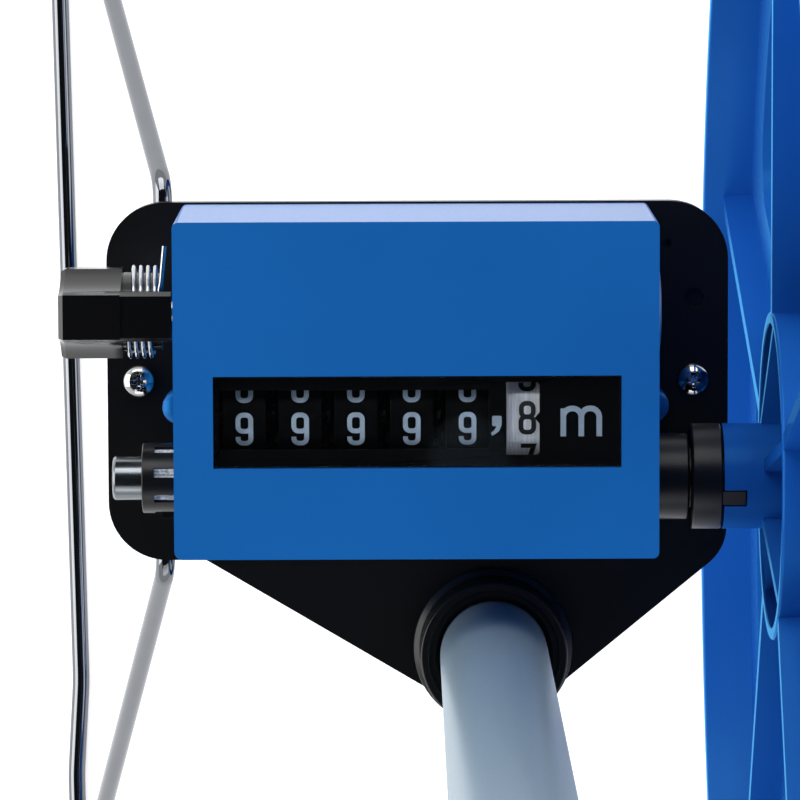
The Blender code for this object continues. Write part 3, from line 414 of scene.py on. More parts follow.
def make_clear_look():
    """A clear sheet: see-through, with a gloss that grows at a grazing angle."""
    look = bpy.data.materials.new("clear_sheet")
    look.use_nodes = True
    tree = look.node_tree
    tree.nodes.remove(tree.nodes["Principled BSDF"])
    gloss = add_node(tree, "ShaderNodeBsdfGlossy", Roughness=0.03)
    clear = add_node(tree, "ShaderNodeBsdfTransparent", Color=(0.96, 0.97, 0.98, 1))
    edge = add_node(tree, "ShaderNodeLayerWeight", Blend=0.25)
    steep = add_node(tree, "ShaderNodeMapRange", From_Min=0.0, From_Max=1.0, To_Min=0.014, To_Max=0.15)
    mix = add_node(tree, "ShaderNodeMixShader")
    tree.links.new(edge.outputs["Facing"], steep.inputs["Value"])
    tree.links.new(steep.outputs["Result"], mix.inputs["Fac"])
    tree.links.new(clear.outputs["BSDF"], mix.inputs[1])
    tree.links.new(gloss.outputs["BSDF"], mix.inputs[2])
    tree.links.new(mix.outputs["Shader"], tree.nodes["Material Output"].inputs["Surface"])
    return look


def make_looks():
    """Every finish, with the record's material slot that it belongs to."""
    tint = (0.0, 0.42, 1.0, 1)
    return {
        "blue_moulding": make_look("wheel_blue", (0.0085, 0.088, 0.37), 0.24, blotch=(25, 0.06),
                                   grain=(90, 0.01), gloss=(0.12, 0.5, 0.85), Specular_IOR_Level=0.0),
        "blue_cover": make_look("cover_blue", (0.0085, 0.102, 0.35), 0.32, blotch=(30, 0.03),
                                grain=(2500, 0.02), Specular_Tint=tint, Specular_IOR_Level=0.8),
        "black_moulding": make_look("black_plastic", (0.003, 0.0031, 0.0037), 0.32, grain=(1800, 0.05),
                                    Specular_IOR_Level=0.3),
        "lever_black": make_look("lever_black", (0.003, 0.003, 0.0034), 0.15, grain=(900, 0.02)),
        "black_paint": make_look("black_enamel", (0.0028, 0.0029, 0.0035), 0.36, grain=(1400, 0.08),
                                 Specular_IOR_Level=0.3),
        "drum_black": make_look("drum_black", (0.001, 0.0012, 0.0016), 0.5, grain=(3000, 0.02),
                                Specular_IOR_Level=0.06),
        "drum_silver": make_look("drum_silver", (0.92, 0.93, 0.96), 0.3, 0.35, blotch=(900, 0.25),
                                 grain=(2500, 0.1), stretch=(2.5, 0.1, 0.1)),
        "wire_chrome": make_look("wire_chrome", (0.165, 0.172, 0.184), 0.06, 1.0, blotch=(120, 0.03),
                                 grain=(500, 0.01), rough_spread=0.03),
        "axle_steel": make_look("axle_steel", (0.17, 0.185, 0.2), 0.22, 1.0, blotch=(300, 0.25),
                                grain=(900, 0.04), stretch=(0.2, 2, 2)),
        # Painted highlight: the knurl is coloured much brighter than bare steel, with strong blotches, to
        # stand in for glints on it where it lies in shade inside the bush's slots.
        "knurled_steel": make_look("knurled_steel", (0.85, 0.86, 0.87), 0.5, 0.5, blotch=(1500, 0.5),
                                   grain=(1500, 0.3)),
        "chrome": make_look("chrome", (0.46, 0.465, 0.47), 0.06, 1.0, blotch=(120, 0.03), grain=(700, 0.005),
                            rough_spread=0.03),
        "steel": make_look("zinc_steel", (0.5, 0.5, 0.51), 0.28, 1.0, grain=(1500, 0.05)),
        "tube_silver": make_look("tube_silver", (0.20, 0.27, 0.32), 0.4, 0.5, blotch=(60, 0.04),
                                 grain=(2200, 0.04), stretch=(3, 3, 0.15)),
        "clear": make_clear_look(),
        "tyre": make_look("tyre_rubber", (0.010, 0.010, 0.011), 0.7, grain=(1200, 0.25), blotch=(50, 0.2),
                          Specular_IOR_Level=0.3),
        "grip_rubber": make_look("grip_rubber", (0.011, 0.011, 0.012), 0.6, grain=(1500, 0.3),
                                 Specular_IOR_Level=0.3),
        "white_moulding": make_look("acetal_white", (0.5, 0.49, 0.46), 0.4),
        "digit_white": make_look("digit_white", (0.30, 0.375, 0.45), 0.5, blotch=(400, 0.2)),
        "digit_black": make_look("digit_black", (0.003, 0.003, 0.004), 0.5),
        "mask_mark": make_look("mark_grey", (0.25, 0.31, 0.365), 0.5, blotch=(500, 0.1)),
    }


LOOKS = make_looks()


# ---- pieces


def make_piece(name, solid, look, body, replaces=(), bevel=0.0, bevel_angle=32, segments=3):
    """A piece that rides on a body: its solid in metres, softened edges, and its material."""
    solid.transform(TO_FRAME)
    mesh = bpy.data.meshes.new(name)
    solid.to_mesh(mesh)
    solid.free()
    mesh.shade_smooth()
    mesh.set_sharp_from_angle(angle=math.radians(bevel_angle))
    mesh.materials.append(LOOKS[look])
    piece = bpy.data.objects.new(name, mesh)
    bpy.context.scene.collection.objects.link(piece)
    if bevel:
        modifier = piece.modifiers.new("soft_edges", "BEVEL")
        modifier.width = bevel * MM
        modifier.segments = segments
        modifier.limit_method = "ANGLE"
        modifier.angle_limit = math.radians(bevel_angle)
        modifier.harden_normals = False
        modifier.use_clamp_overlap = True
    even = piece.modifiers.new("even_shading", "WEIGHTED_NORMAL")
    even.keep_sharp = True
    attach(piece, body)
    if replaces:
        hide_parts(*replaces)
    return piece


def make_finish(node, solid, look, body, *softening):
    """The finer piece that takes one CAD node's place."""
    return make_piece(node + "_finish", solid, look, body, [node], *softening)


def spoke_angles():
    return [SPOKE_PHASE + 2 * math.pi * i / SPOKES for i in range(SPOKES)]


def wheel_moulding():
    """Rim, web, ribs, ring wall, gussets and hub in one moulding, with draft on the ribs."""
    axle, lip = (0, 0), 1.8
    half_step = math.pi / WHEEL_SEGMENTS
    rim = turned("X", axle, rounded([
        (RIM_LEFT, RIM_INNER + 1.0, 0.5), (RIM_LEFT, RIM_FLANGE, 0.6), (RIM_LEFT + lip, RIM_FLANGE, 0.6),
        (RIM_LEFT + lip, RIM_BED, 0), (RIM_RIGHT - lip, RIM_BED, 0), (RIM_RIGHT - lip, RIM_FLANGE, 0.6),
        (RIM_RIGHT, RIM_FLANGE, 0.6), (RIM_RIGHT, RIM_INNER + 1.0, 0.5), (RIM_MIDDLE, RIM_INNER, 0),
    ], 30), WHEEL_SEGMENTS, half_step)
    web_edge = circle(axle, RIM_INNER + 1.2, WHEEL_SEGMENTS, half_step)
    openings = [opening_outline(angle + math.pi / SPOKES) for angle in spoke_angles()]
    web = prism("X", RIM_MIDDLE - 1.2, RIM_MIDDLE + 1.2, web_edge, openings)
    ribs = []
    rib_foot, rib_outer_width, rib_inner_width = 31.6, 3.9, 3.1
    for angle in spoke_angles():
        for end in (RIB_LEFT, RIB_RIGHT):
            ribs.append(radial_block(RIM_MIDDLE, end, rib_foot, RIM_INNER + 0.9, rib_outer_width, angle,
                                     rib_inner_width))
    ring_low, ring_high = RIB_LEFT - 0.2, RIB_RIGHT + 0.2
    hub_ring = tube("X", axle, HUB_RING_RADIUS - 2.4, HUB_RING_RADIUS, ring_low, ring_high, 0.6, 140)
    hub = turned("X", axle, [
        (HUB_LEFT, 0), (HUB_LEFT, HUB_RADIUS), (HUB_RIGHT, HUB_RADIUS), (HUB_RIGHT, 0)], 80)
    gussets = []
    gusset_foot, gusset_end, gusset_half = 6.5, 32.0, 1.3
    for angle in spoke_angles():
        for side in (-1, 1):
            inner_x, outer_x = (71.4, 74.6) if side < 0 else (90.8, 88.6)
            web_line = [(RIM_MIDDLE, gusset_foot), (inner_x, gusset_foot), (outer_x, gusset_end),
                        (RIM_MIDDLE, gusset_end)]
            gusset = prism("Y", -gusset_half, gusset_half, web_line)
            gusset.transform(Matrix.Rotation(angle - math.pi / 2, 4, "X"))
            gussets.append(closed_up(gusset))
    wheel = joined(rim, web)
    for additions in (ribs, [hub_ring], [hub], gussets):
        wheel = joined(wheel, *additions)
    bore = turned("X", axle, [(50, 0), (50, AXLE_RADIUS + GAP), (105, AXLE_RADIUS + GAP), (105, 0)], 48)
    slots = []
    for angle in (DOG_ANGLE, DOG_ANGLE + math.pi):
        slots.append(radial_block(HUB_LEFT - 2, HUB_LEFT + DOG_DEPTH, 3.0, HUB_RADIUS + 2, DOG_SLOT, angle))
    return cut(wheel, bore, *slots)


def tyre():
    """A solid tyre with two round grooves and notched shoulders."""
    low, high = extent("tyre")
    left, right = low.x, high.x
    base, top, middle = RIM_BED + GAP, TYRE_RADIUS, (low.x + high.x) / 2
    groove, depth = 0.9, 1.1
    profile = [(left, base), (left, top - 2.4), (left + 0.5, top - 0.9), (left + 1.6, top - 0.15)]
    for centre in (middle - 4.2, middle + 4.2):
        profile += [(centre - groove, top), (centre - groove * 0.6, top - depth),
                    (centre + groove * 0.6, top - depth), (centre + groove, top)]
    profile += [(right - 1.6, top - 0.15), (right - 0.5, top - 0.9), (right, top - 2.4), (right, base)]
    solid = turned("X", (0, 0), profile, 480)
    notches, notch_reach, notch_depth = 120, 3.4, 0.9
    for vert in solid.verts:
        radius = math.hypot(vert.co.y, vert.co.z)
        edge = min(vert.co.x - left, right - vert.co.x)
        turn = math.atan2(vert.co.z, vert.co.y) / (2 * math.pi) * notches
        if edge < notch_reach and radius > top - 3 and round(turn * 4) % 4 == 0:
            share = (radius - notch_depth) / radius
            vert.co.y *= share
            vert.co.z *= share
    return solid


def drive_collar():
    bore, tube_radius, left = AXLE_RADIUS + GAP, 6.3, extent("drive_collar")[0].x
    body = turned("X", (0, 0), rounded([
        (left, bore, 0.2), (left, tube_radius, 0.3), (57.7, tube_radius, 0), (57.7, 10.6, 0.5),
        (63.8, 10.6, 0.35), (63.8, bore, 0.2)], 30), 80)
    tongues = []
    for angle in (DOG_ANGLE, DOG_ANGLE + math.pi):
        end = HUB_LEFT + DOG_DEPTH - GAP
        tongues.append(radial_block(61, end, bore + 0.4, 10.3, DOG_TONGUE, angle))
    return joined(body, *tongues)


def build_wheel():
    make_finish("wheel", wheel_moulding(), "blue_moulding", "wheel", 0.35, 35, 2)
    make_finish("tyre", tyre(), "tyre", "wheel")
    make_finish("drive_collar", drive_collar(), "black_moulding", "wheel", 0.25, 40)
    teeth, crest, root = 45, 6.6, 6.1
    knurl = prism("X", -49.6, -44.3, [
        polar(crest if i % 2 else root, math.pi * i / teeth) for i in range(2 * teeth)])
    make_piece("axle_knurl", knurl, "knurled_steel", "frame")
    axle = turned("X", (0, 0), rounded([
        (AXLE_LEFT, 0, 0), (AXLE_LEFT, AXLE_RADIUS, 0.8), (AXLE_SHOULDER, AXLE_RADIUS, 0.2),
        (AXLE_SHOULDER, AXLE_THREAD, 0), (AXLE_RIGHT, AXLE_THREAD, 0.6), (AXLE_RIGHT, 0, 0),
    ], 30), 64)
    make_finish("axle", axle, "axle_steel", "frame")
    washer = tube("X", (0, 0), 4.2, 9.0, 93.3, 94.9, 0.3, 64)
    make_finish("axle_washer", washer, "chrome", "frame")
    nut = prism("X", 95.2, 100.4, circle((0, 0), 7.5, 6))
    crown = turned("X", (0, 0), [(94, 0), (94, 6.4), (95.9, 7.7), (99.7, 7.7), (101, 6.6), (101, 0)], 64)
    nut = combined(nut, "INTERSECT", crown)
    bore = turned("X", (0, 0), [(94, 0), (94, 4.2), (102, 4.2), (102, 0)], 48)
    make_finish("axle_nut", cut(nut, bore), "chrome", "frame", 0.15, 25)


def build_axle_bearings():
    left, right = extent("axle_bush")[0].x, extent("axle_bush")[1].x
    bush = tube("X", (0, 0), AXLE_RADIUS + GAP, 7.05, left, right, 0.3, 96)
    bush = joined(bush, block((-48.3, -8.0, -1.6), (-44.0, -6.4, 1.6)))
    slots = [radial_block(-49.5, -44.4, 4.2, 9, 1.9, math.radians(75 + 45 * i)) for i in range(8)]
    make_finish("axle_bush", cut(bush, *slots), "black_moulding", "frame", 0.15, 40)
    sleeve_left, bore = extent("axle_sleeve")[0].x, 6.6
    sleeve = turned("X", (0, 0), rounded([
        (sleeve_left, bore, 0.2), (sleeve_left, 10.8, 0.3), (sleeve_left + 1.4, 10.8, 0.3),
        (sleeve_left + 1.4, 8.65, 0), (57.3, 8.65, 0.5), (57.3, bore, 0.2)], 30), 96)
    make_finish("axle_sleeve", sleeve, "black_moulding", "frame")


# ---- plates and screws


def rectangle(x, y, half_x, half_y):
    return [(x - half_x, y - half_y), (x + half_x, y - half_y), (x + half_x, y + half_y),
            (x - half_x, y + half_y)]


def pan_screw(x, y, seat, tip, head_radius, head_height, shank):
    """A domed head with a cross recess that narrows as it goes down, and a threaded shank."""
    way = 1 if seat > tip else -1
    top = seat + way * head_height
    profile = [(tip, 0), (tip, shank * 0.6)]
    pitch, turns = 0.9, int((abs(seat - tip) - 1.6) / 0.9)
    for i in range(turns):
        start = tip + way * (0.6 + pitch * i)
        profile += [(start, shank - 0.25), (start + way * pitch / 2, shank)]
    profile += [(seat, shank), (seat, head_radius)]
    dome = arc((0, 0), 1.0, 0.0, math.pi / 2, 8)
    profile += [(seat + way * (0.5 + (head_height - 0.5) * b), head_radius * a) for a, b in dome[:-1]]
    profile.append((top, 0))
    screw = turned("Z", (x, y), profile, 64)
    recess = []
    for wide, long in ((0.45, 1.75), (1.75, 0.45)):
        deep, open_end = rectangle(x, y, wide * 0.5, long * 0.5), rectangle(x, y, wide, long)
        recess.append(loft("Z", (top - way * 1.7, deep), (top + way * 0.2, open_end)))
    return cut(screw, *recess)


def plate_outline():
    """A rounded rectangle that tapers to a rounded tip under the tube."""
    return rounded([
        (PLATE_LEFT, PLATE_REAR, 12), (-41.0, PLATE_REAR, 2), (6.0, -47.3, 3), (12.5, -51.0, 8),
        (26.5, -51.0, 8), (33.0, -45.5, 3), (PLATE_RIGHT, -17.8, 10),
        (PLATE_RIGHT, PLATE_FRONT, 12), (PLATE_LEFT, PLATE_FRONT, 12)], 6)


def counter_base():
    """The counter's floor with the two upright walls that carry its shafts."""
    corner = 12.0
    edge = rounded([(PLATE_LEFT, PLATE_REAR, corner), (PLATE_RIGHT, PLATE_REAR, corner),
                    (PLATE_RIGHT, PLATE_FRONT, corner), (PLATE_LEFT, PLATE_FRONT, corner)], 6)
    holes = [circle(place, 1.9, 24) for place in PLATE_SCREWS + COVER_SCREWS]
    floor = prism("Z", BASE_TOP - 2.0, BASE_TOP, edge, holes)
    wall_thick = 2.0
    wall = [(-9.0, BASE_TOP - 1), (49.0, BASE_TOP - 1), (49.0, 12.0), (45.0, 18.0), (30.0, 25.5),
            (-9.0, 25.5)]
    pinion = polar(14.9, math.radians(-50), DRUM_LINE)
    shared = [circle(DRUM_LINE, 2.3, 24), circle(pinion, 1.5, 20),
              circle(LEVER_PIVOT, 2.3, 24)]
    walls = [prism("X", left, left + wall_thick, wall, [circle((0, 0), axle_hole, 40), *shared])
             for left, axle_hole in ((-41.5, 7.4), (42.5, 6.9))]
    mark_floor, above = BASE_TOP - 1.4, BASE_TOP + 1
    marks = [turned("Z", place, [(mark_floor, 0), (mark_floor, radius), (above, radius), (above, 0)], 40)
             for place, radius in (((54.3, 45.4), 0.9), ((59.8, 34.3), 2.0))]
    return cut(joined(floor, *walls), *marks)


def build_plates():
    make_finish("counter_base", counter_base(), "black_moulding", "frame", 0.45, 40)
    holes = [circle(place, 1.9, 24) for place in PLATE_SCREWS + COVER_SCREWS]
    holes.append(circle(TUBE_PLACE, 3.4, 32))
    plate = prism("Z", PLATE_TOP - 2.0, PLATE_TOP, plate_outline(), holes)
    make_finish("mounting_plate", plate, "black_paint", "frame", 0.35, 40)
    for side, (x, y) in zip(("left", "right"), PLATE_SCREWS):
        low, high = extent("plate_screw_" + side)
        screw = pan_screw(x, y, high.z - 2.3, low.z, 3.3, 2.3, 1.5)
        make_finish("plate_screw_" + side, screw, "chrome", "frame", 0.08, 45)
    for side, (x, y) in zip(("left", "right"), COVER_SCREWS):
        low, high = extent("cover_screw_" + side)
        screw = pan_screw(x, y, low.z + 1.3, high.z, 1.9, 1.3, 1.2)
        make_finish("cover_screw_" + side, screw, "chrome", "frame", 0.08, 45)


# ---- cover and window


def cover_outline(inset, spread):
    left, right = COVER_LEFT + inset - spread, COVER_RIGHT - inset + spread
    rear, fore = COVER_REAR + inset - spread, COVER_FORE - inset + spread
    corner = max(0.4, 1.2 - inset / 2)
    return rounded([(left, rear, corner * 1.4), (right, rear, corner), (right, fore, corner),
                    (left, fore, corner)], 15)


def counter_cover():
    """A drafted box that is open at the back, with a window, lever bosses, screw pillars and axle notches."""
    back, draft = extent("counter_cover")[0].z, 0.5
    shell = loft("Z", (back, cover_outline(0, draft)), (COVER_FRONT, cover_outline(0, 0)))
    sides = ((-1, COVER_LEFT, 1.0, COVER_SCREWS[0]), (1, COVER_RIGHT, 1.7, COVER_SCREWS[1]))
    boss_radius, dome_radius, boss_rim = 12.4, 12.0, 0.25
    pillar_radius, pillar_top, pillar_dome = 3.4, -13.0, 2.0
    quarter = arc((0, 0), 1, 0, math.pi / 2, 8)[:-1]
    for side, face, swell, pillar_place in sides:
        root = face - side * 3
        boss = [(root, 0), (root, boss_radius), (face + side * boss_rim, boss_radius)]
        for turn in (math.radians(a) for a in range(6, 90, 6)):
            rise = boss_rim + (swell - boss_rim) * math.sin(turn)
            boss.append((face + side * rise, dome_radius * math.cos(turn)))
        boss.append((face + side * swell, 0))
        pillar = [(back, 0), (back, pillar_radius)]
        pillar += [(pillar_top - pillar_dome + pillar_dome * b, pillar_radius * a) for a, b in quarter]
        pillar.append((pillar_top, 0))
        shell = joined(shell, turned("X", LEVER_PIVOT, boss, 72),
                       turned("Z", pillar_place, pillar, 48))
    hollow = loft("Z", (back - 1, cover_outline(COVER_WALL, draft)),
                  (COVER_FRONT - COVER_WALL, cover_outline(COVER_WALL, 0)))
    shell = cut(shell, hollow)
    window = rounded([(WINDOW_LEFT, WINDOW_REAR, 0.3), (WINDOW_RIGHT, WINDOW_REAR, 0.3),
                      (WINDOW_RIGHT, WINDOW_FORE, 0.3), (WINDOW_LEFT, WINDOW_FORE, 0.3)])
    cutters = [prism("Z", 20, COVER_FRONT + 2, window)]
    cutters.append(turned("X", LEVER_PIVOT, [(-60, 0), (-60, 2.4), (-30, 2.4), (-30, 0)], 24))
    for place in COVER_SCREWS:
        cutters.append(turned("Z", place, [(back - 2, 0), (back - 2, 1.5), (-17.0, 1.5), (-17.0, 0)], 24))
    for low, high, radius in ((-60, -38, 8.3), (46.6, 60, 9.2)):
        arch = arc((0, 0), radius, 0, math.pi, 32) + [(-radius, back - 2), (radius, back - 2)]
        cutters.append(prism("X", low, high, arch))
    return cut(shell, *cutters)


def window_mask():
    outline = [(WINDOW_LEFT - 2, WINDOW_REAR - 2), (WINDOW_RIGHT + 2, WINDOW_REAR - 2),
               (WINDOW_RIGHT + 2, WINDOW_FORE + 2), (WINDOW_LEFT - 2, WINDOW_FORE + 2)]
    rear, fore, pointer = 7.5, 20.3, 14.7
    left, right, tenths_fore = 20.3, 26.8, 21.8
    digits = rounded([(-35.6, 8.7, 0.4), (16.9, 8.7, 0.4), (16.9, fore, 0.4), (-35.6, fore, 0.4)])
    tenths = rounded([
        (left, rear, 0.2), (right, rear, 0.8), (right, pointer - 1.1, 0), (right - 0.95, pointer, 0),
        (right, pointer + 1.1, 0), (right, tenths_fore, 0.8), (left, tenths_fore, 0.2)])
    low, high = extent("window_mask")
    return prism("Z", low.z, high.z, outline, [digits, tenths])


# ---- glyphs


def loop(left, low, right, high, bend=1.0):
    """A closed stroke round a box, as (points, closed)."""
    corners = [(left, low, bend), (right, low, bend), (right, high, bend), (left, high, bend)]
    return (rounded(corners, 22), True)


def stroke(*corners):
    return (rounded(list(corners), 22, closed=False), False)


def glyph_strokes():
    """The centre lines of the ten digits, in a box of HALF_WIDE by HALF_HIGH round the origin."""
    w, h, hook = HALF_WIDE, HALF_HIGH, 1.35
    nine = [loop(-w, -0.35, w, h, 0.95), stroke((w, 0.6, 0), (w, -h, 1), (-w, -h, 1), (-w, -h + hook, 0))]
    six = [([(-x, -y) for x, y in points], closed) for points, closed in nine]
    return {
        0: [loop(-w, -h, w, h)],
        1: [stroke((-0.75, h - 1.0, 0), (0.3, h, 0), (0.3, -h, 0))],
        2: [stroke((-w, h - hook, 0), (-w, h, 1), (w, h, 1), (w, 0.4, 1), (-w, -1.4, 1), (-w, -h, 0),
                   (w, -h, 0))],
        3: [stroke((-w, h - hook, 0), (-w, h, 1), (w, h, 1), (w, 0.2, 0.9), (-0.4, 0.2, 0)),
            stroke((-0.4, 0.2, 0), (w, 0.2, 0.9), (w, -h, 1), (-w, -h, 1), (-w, -h + hook, 0))],
        4: [stroke((0.4, h, 0), (-w, -1.2, 0), (w + 0.3, -1.2, 0)), stroke((0.7, 0.5, 0), (0.7, -h, 0))],
        5: [stroke((w, h, 0), (-w, h, 0), (-w, 0.5, 0), (w, 0.5, 1), (w, -h, 1), (-w, -h, 1),
                   (-w, -h + hook, 0))],
        6: six,
        7: [stroke((-w, h, 0), (w, h, 0), (-0.3, -h, 0))],
        8: [loop(-w + 0.08, 0.2, w - 0.08, h, 0.95), loop(-w, -h, w, 0.2, 0.95)],
        9: nine,
    }


def ribbon(points, closed, width, low, high, place):
    """A flat band along a centre line, from height low to high.

    place turns (across, up, height) into a point."""
    step = 0.5
    dense = []
    count = len(points)
    for i in range(count if closed else count - 1):
        a, b = Vector(points[i]), Vector(points[(i + 1) % count])
        pieces = max(1, math.ceil((b - a).length / step))
        dense += [a.lerp(b, s / pieces) for s in range(pieces)]
    if not closed:
        dense.append(Vector(points[-1]))
    solid = bmesh.new()
    rings = []
    total = len(dense)
    for i, here in enumerate(dense):
        before = dense[i - 1] if closed or i else None
        after = dense[(i + 1) % total] if closed or i < total - 1 else None
        came = (here - before).normalized() if before is not None else (after - here).normalized()
        goes = (after - here).normalized() if after is not None else came
        along = (came + goes).normalized()
        across = Vector((-along.y, along.x)) * width / 2 / max(0.55, along.dot(goes))
        ring_now = []
        for side, height in ((-1, low), (1, low), (1, high), (-1, high)):
            corner = here + across * side
            ring_now.append(solid.verts.new(place(corner.x, corner.y, height)))
        rings.append(ring_now)
    for i in range(total if closed else total - 1):
        now, then = rings[i], rings[(i + 1) % total]
        for j in range(4):
            k = (j + 1) % 4
            solid.faces.new((now[j], now[k], then[k], then[j]))
    if not closed:
        solid.faces.new(rings[0])
        solid.faces.new(rings[-1])
    return closed_up(solid)


def digit_ring(middle_x, angle_of_zero, radius):
    """All ten digits round a drum. The digits count upward, towards +Y at the front."""
    strokes = glyph_strokes()
    bands = []
    for digit, lines in strokes.items():
        angle = angle_of_zero + digit * DIGIT_STEP

        def on_drum(across, up, height, angle=angle):
            turn = angle + up / radius
            reach = radius + height
            y, z = DRUM_Y + reach * math.sin(turn), DRUM_Z + reach * math.cos(turn)
            return Vector((middle_x + across, y, z))

        for layer, (points, closed) in enumerate(lines):
            bands.append(ribbon(points, closed, STROKE, -0.1, 0.03 + 0.01 * layer, on_drum))
    return gathered(bands)


def mask_marks():
    """The comma and the unit letter, printed on the mask."""
    top = extent("window_mask")[1].z

    def on_mask(across, up, height):
        return Vector((across, up, top + height))

    letter_x, letter_low, letter_high, wide, arch = 34.9, 11.15, 16.6, 3.5, 1.65
    lines = [stroke((letter_x - wide, letter_low, 0), (letter_x - wide, letter_high, 0))]
    for left in (letter_x - wide, letter_x):
        right = left + wide
        lines.append(stroke((left, letter_high - 1.9, 0), (left, letter_high, arch),
                            (right, letter_high, arch), (right, letter_low, 0)))
    bands = []
    for layer, (points, closed) in enumerate(lines):
        bands.append(ribbon(points, closed, 1.08, 0.0, 0.05 + 0.01 * layer, on_mask))
    comma = rounded([
        (17.55, 15.2, 0.3), (17.55, 13.2, 0.3), (18.45, 13.2, 0.15), (18.0, 12.4, 0.3), (17.3, 11.9, 0.1),
        (17.6, 11.3, 0.1), (18.9, 12.2, 0.6), (19.4, 13.4, 0.5), (19.4, 15.2, 0.3)])
    bands.append(prism("Z", top, top + 0.05, comma))
    return gathered(bands)


# ---- counter


def drum_ring(left, right, grooves=()):
    """The sleeve that carries a drum's numbers, with fine grooves at its left."""
    outer = DRUM_RADIUS
    profile = [(left, DRUM_BORE, 0), (left, outer, 0.12)]
    for groove in grooves:
        profile += [(groove - 0.12, outer, 0), (groove, outer - 0.1, 0), (groove + 0.12, outer, 0)]
    profile += [(right, outer, 0.12), (right, DRUM_BORE, 0)]
    return turned("X", DRUM_LINE, rounded(profile, 30), 192)


def build_counter():
    make_finish("counter_cover", counter_cover(), "blue_cover", "frame", 0.75, 40)
    low, high = extent("counter_window")
    lens = block(low, high)
    make_finish("counter_window", lens, "clear", "frame", 0.08, 40)
    make_finish("window_mask", window_mask(), "drum_black", "frame", 0.12, 40)
    make_piece("window_marks", mask_marks(), "mask_mark", "frame")
    for i in range(DIGIT_DRUMS):
        number = str(i + 1)
        middle = LAST_DIGIT_X - DRUM_PITCH * (DIGIT_DRUMS - 1 - i)
        zero_angle = NINE_ANGLE - 9 * DIGIT_STEP
        body = "digit_drum_" + number
        ring_piece = drum_ring(middle - 4.2, middle + 4.2)
        make_piece(f"digit_ring_{number}", ring_piece, "drum_black", body)
        digits = digit_ring(middle, zero_angle, DRUM_RADIUS)
        make_piece(f"digits_{number}", digits, "digit_white", body)
    make_piece("tenths_ring", drum_ring(20.4, 27.5, (20.95, 21.5, 22.05)), "drum_silver", "tenths_drum")
    digits = digit_ring(24.45, EIGHT_ANGLE - 8 * DIGIT_STEP, DRUM_RADIUS)
    make_piece("tenths_digits", digits, "digit_black", "tenths_drum")


def lever_head_outline():
    """Front face, two slightly hollow slopes, and a round back about the lever's pivot."""
    front, half, foot, back = 19.0, 4.4, 8.9, 9.0
    points = arc(LEVER_PIVOT, back, math.radians(-165), math.radians(-15), 24)
    slope = []
    hollow = 0.9
    for i in range(15):
        share = i / 14
        dip = hollow * math.sin(math.pi * share)
        slope.append((foot + (half - foot) * share - dip * 0.87, 9.5 + (front - 9.5) * share - dip * 0.5))
    points += [(LEVER_Y + a, b) for a, b in slope]
    points += [(LEVER_Y - a, b) for a, b in reversed(slope)]
    return points


def reset_lever():
    outline = lever_head_outline()
    middle = (LEVER_Y, 8.0)
    shrunk = [(middle[0] + (y - middle[0]) * 0.95, middle[1] + (z - middle[1]) * 0.96) for y, z in outline]
    head = loft("X", (LEVER_LEFT + 0.9, outline), (LEVER_HEAD_RIGHT, outline))
    tip = loft("X", (LEVER_LEFT + 0.92, outline), (LEVER_LEFT, shrunk))
    bar = prism("X", LEVER_HEAD_RIGHT - 3, LEVER_BAR_RIGHT, rounded([
        (29.0, 14.3, 0), (38.8, 14.3, 0), (38.8, 17.4, 0), (38.0, 18.6, 0), (29.8, 18.6, 0),
        (29.0, 17.4, 0)]))
    spool_left, spool_right, spool_radius = LEVER_HEAD_RIGHT - 2, LEVER_RIGHT - 1.6, 7.9
    spool = turned("X", LEVER_PIVOT, [
        (spool_left, 0), (spool_left, spool_radius), (spool_right, spool_radius), (spool_right, 0)], 64)
    arm = block((LEVER_RIGHT - 2.0, 29.4, LEVER_Z), (LEVER_RIGHT - 0.1, 33.0, 15.4))
    lever = joined(head, tip)
    for addition in (bar, spool, arm):
        lever = joined(lever, addition)
    bore = turned("X", LEVER_PIVOT, [(-64.2, 0), (-64.2, 2.3), (-40, 2.3), (-40, 0)], 32)
    return cut(lever, bore)


def reset_spring():
    """A torsion spring round the lever's spool, with a straight free leg."""
    turns, steps, radius, pitch = 4.0, 40, 9.0, 1.4
    path, normals = [], []
    for i in range(int(turns * steps) + 1):
        angle = math.pi / 2 + 2 * math.pi * i / steps
        y, z = polar(radius, angle, LEVER_PIVOT)
        path.append(Vector((-54.2 + pitch * i / steps, y, z)))
        normals.append(Vector((0, math.cos(angle), math.sin(angle))))
    path.reverse()
    normals.reverse()
    for reach, x in ((2.5, -48.2), (6.5, -47.4), (13.6, -46.7)):
        path.insert(0, Vector((x, LEVER_Y + reach, LEVER_Z + radius - 0.05)))
        normals.insert(0, Vector((0, 0, 1)))
    return sweep(path, normals, 0.45, 16)


def build_lever():
    make_finish("reset_lever", reset_lever(), "lever_black", "reset_lever", 0.6, 28, 4)
    make_finish("reset_spring", reset_spring(), "chrome", "frame")


# ---- stand, tube and handle


def build_stand():
    low = GROUND + STAND_WIRE
    path = bent([
        (STAND_X, 57.5, STAND_Z, 7), (-79.72, 143.0, low, 8), (-75.5, -66.0, low, 60),
        (-76.8, -88.0, low, 60), (-76.3, -118.0, low, 8), (STAND_X, -22.5, STAND_Z, 7)])
    normal = Vector((STAND_X + 77.0, 0, STAND_Z - low)).cross(Vector((0, 1, 0)))
    wire = sweep(path, [normal.normalized()] * len(path), STAND_WIRE, 32, closed=True)
    make_finish("stand_wire", wire, "wire_chrome", "stand")


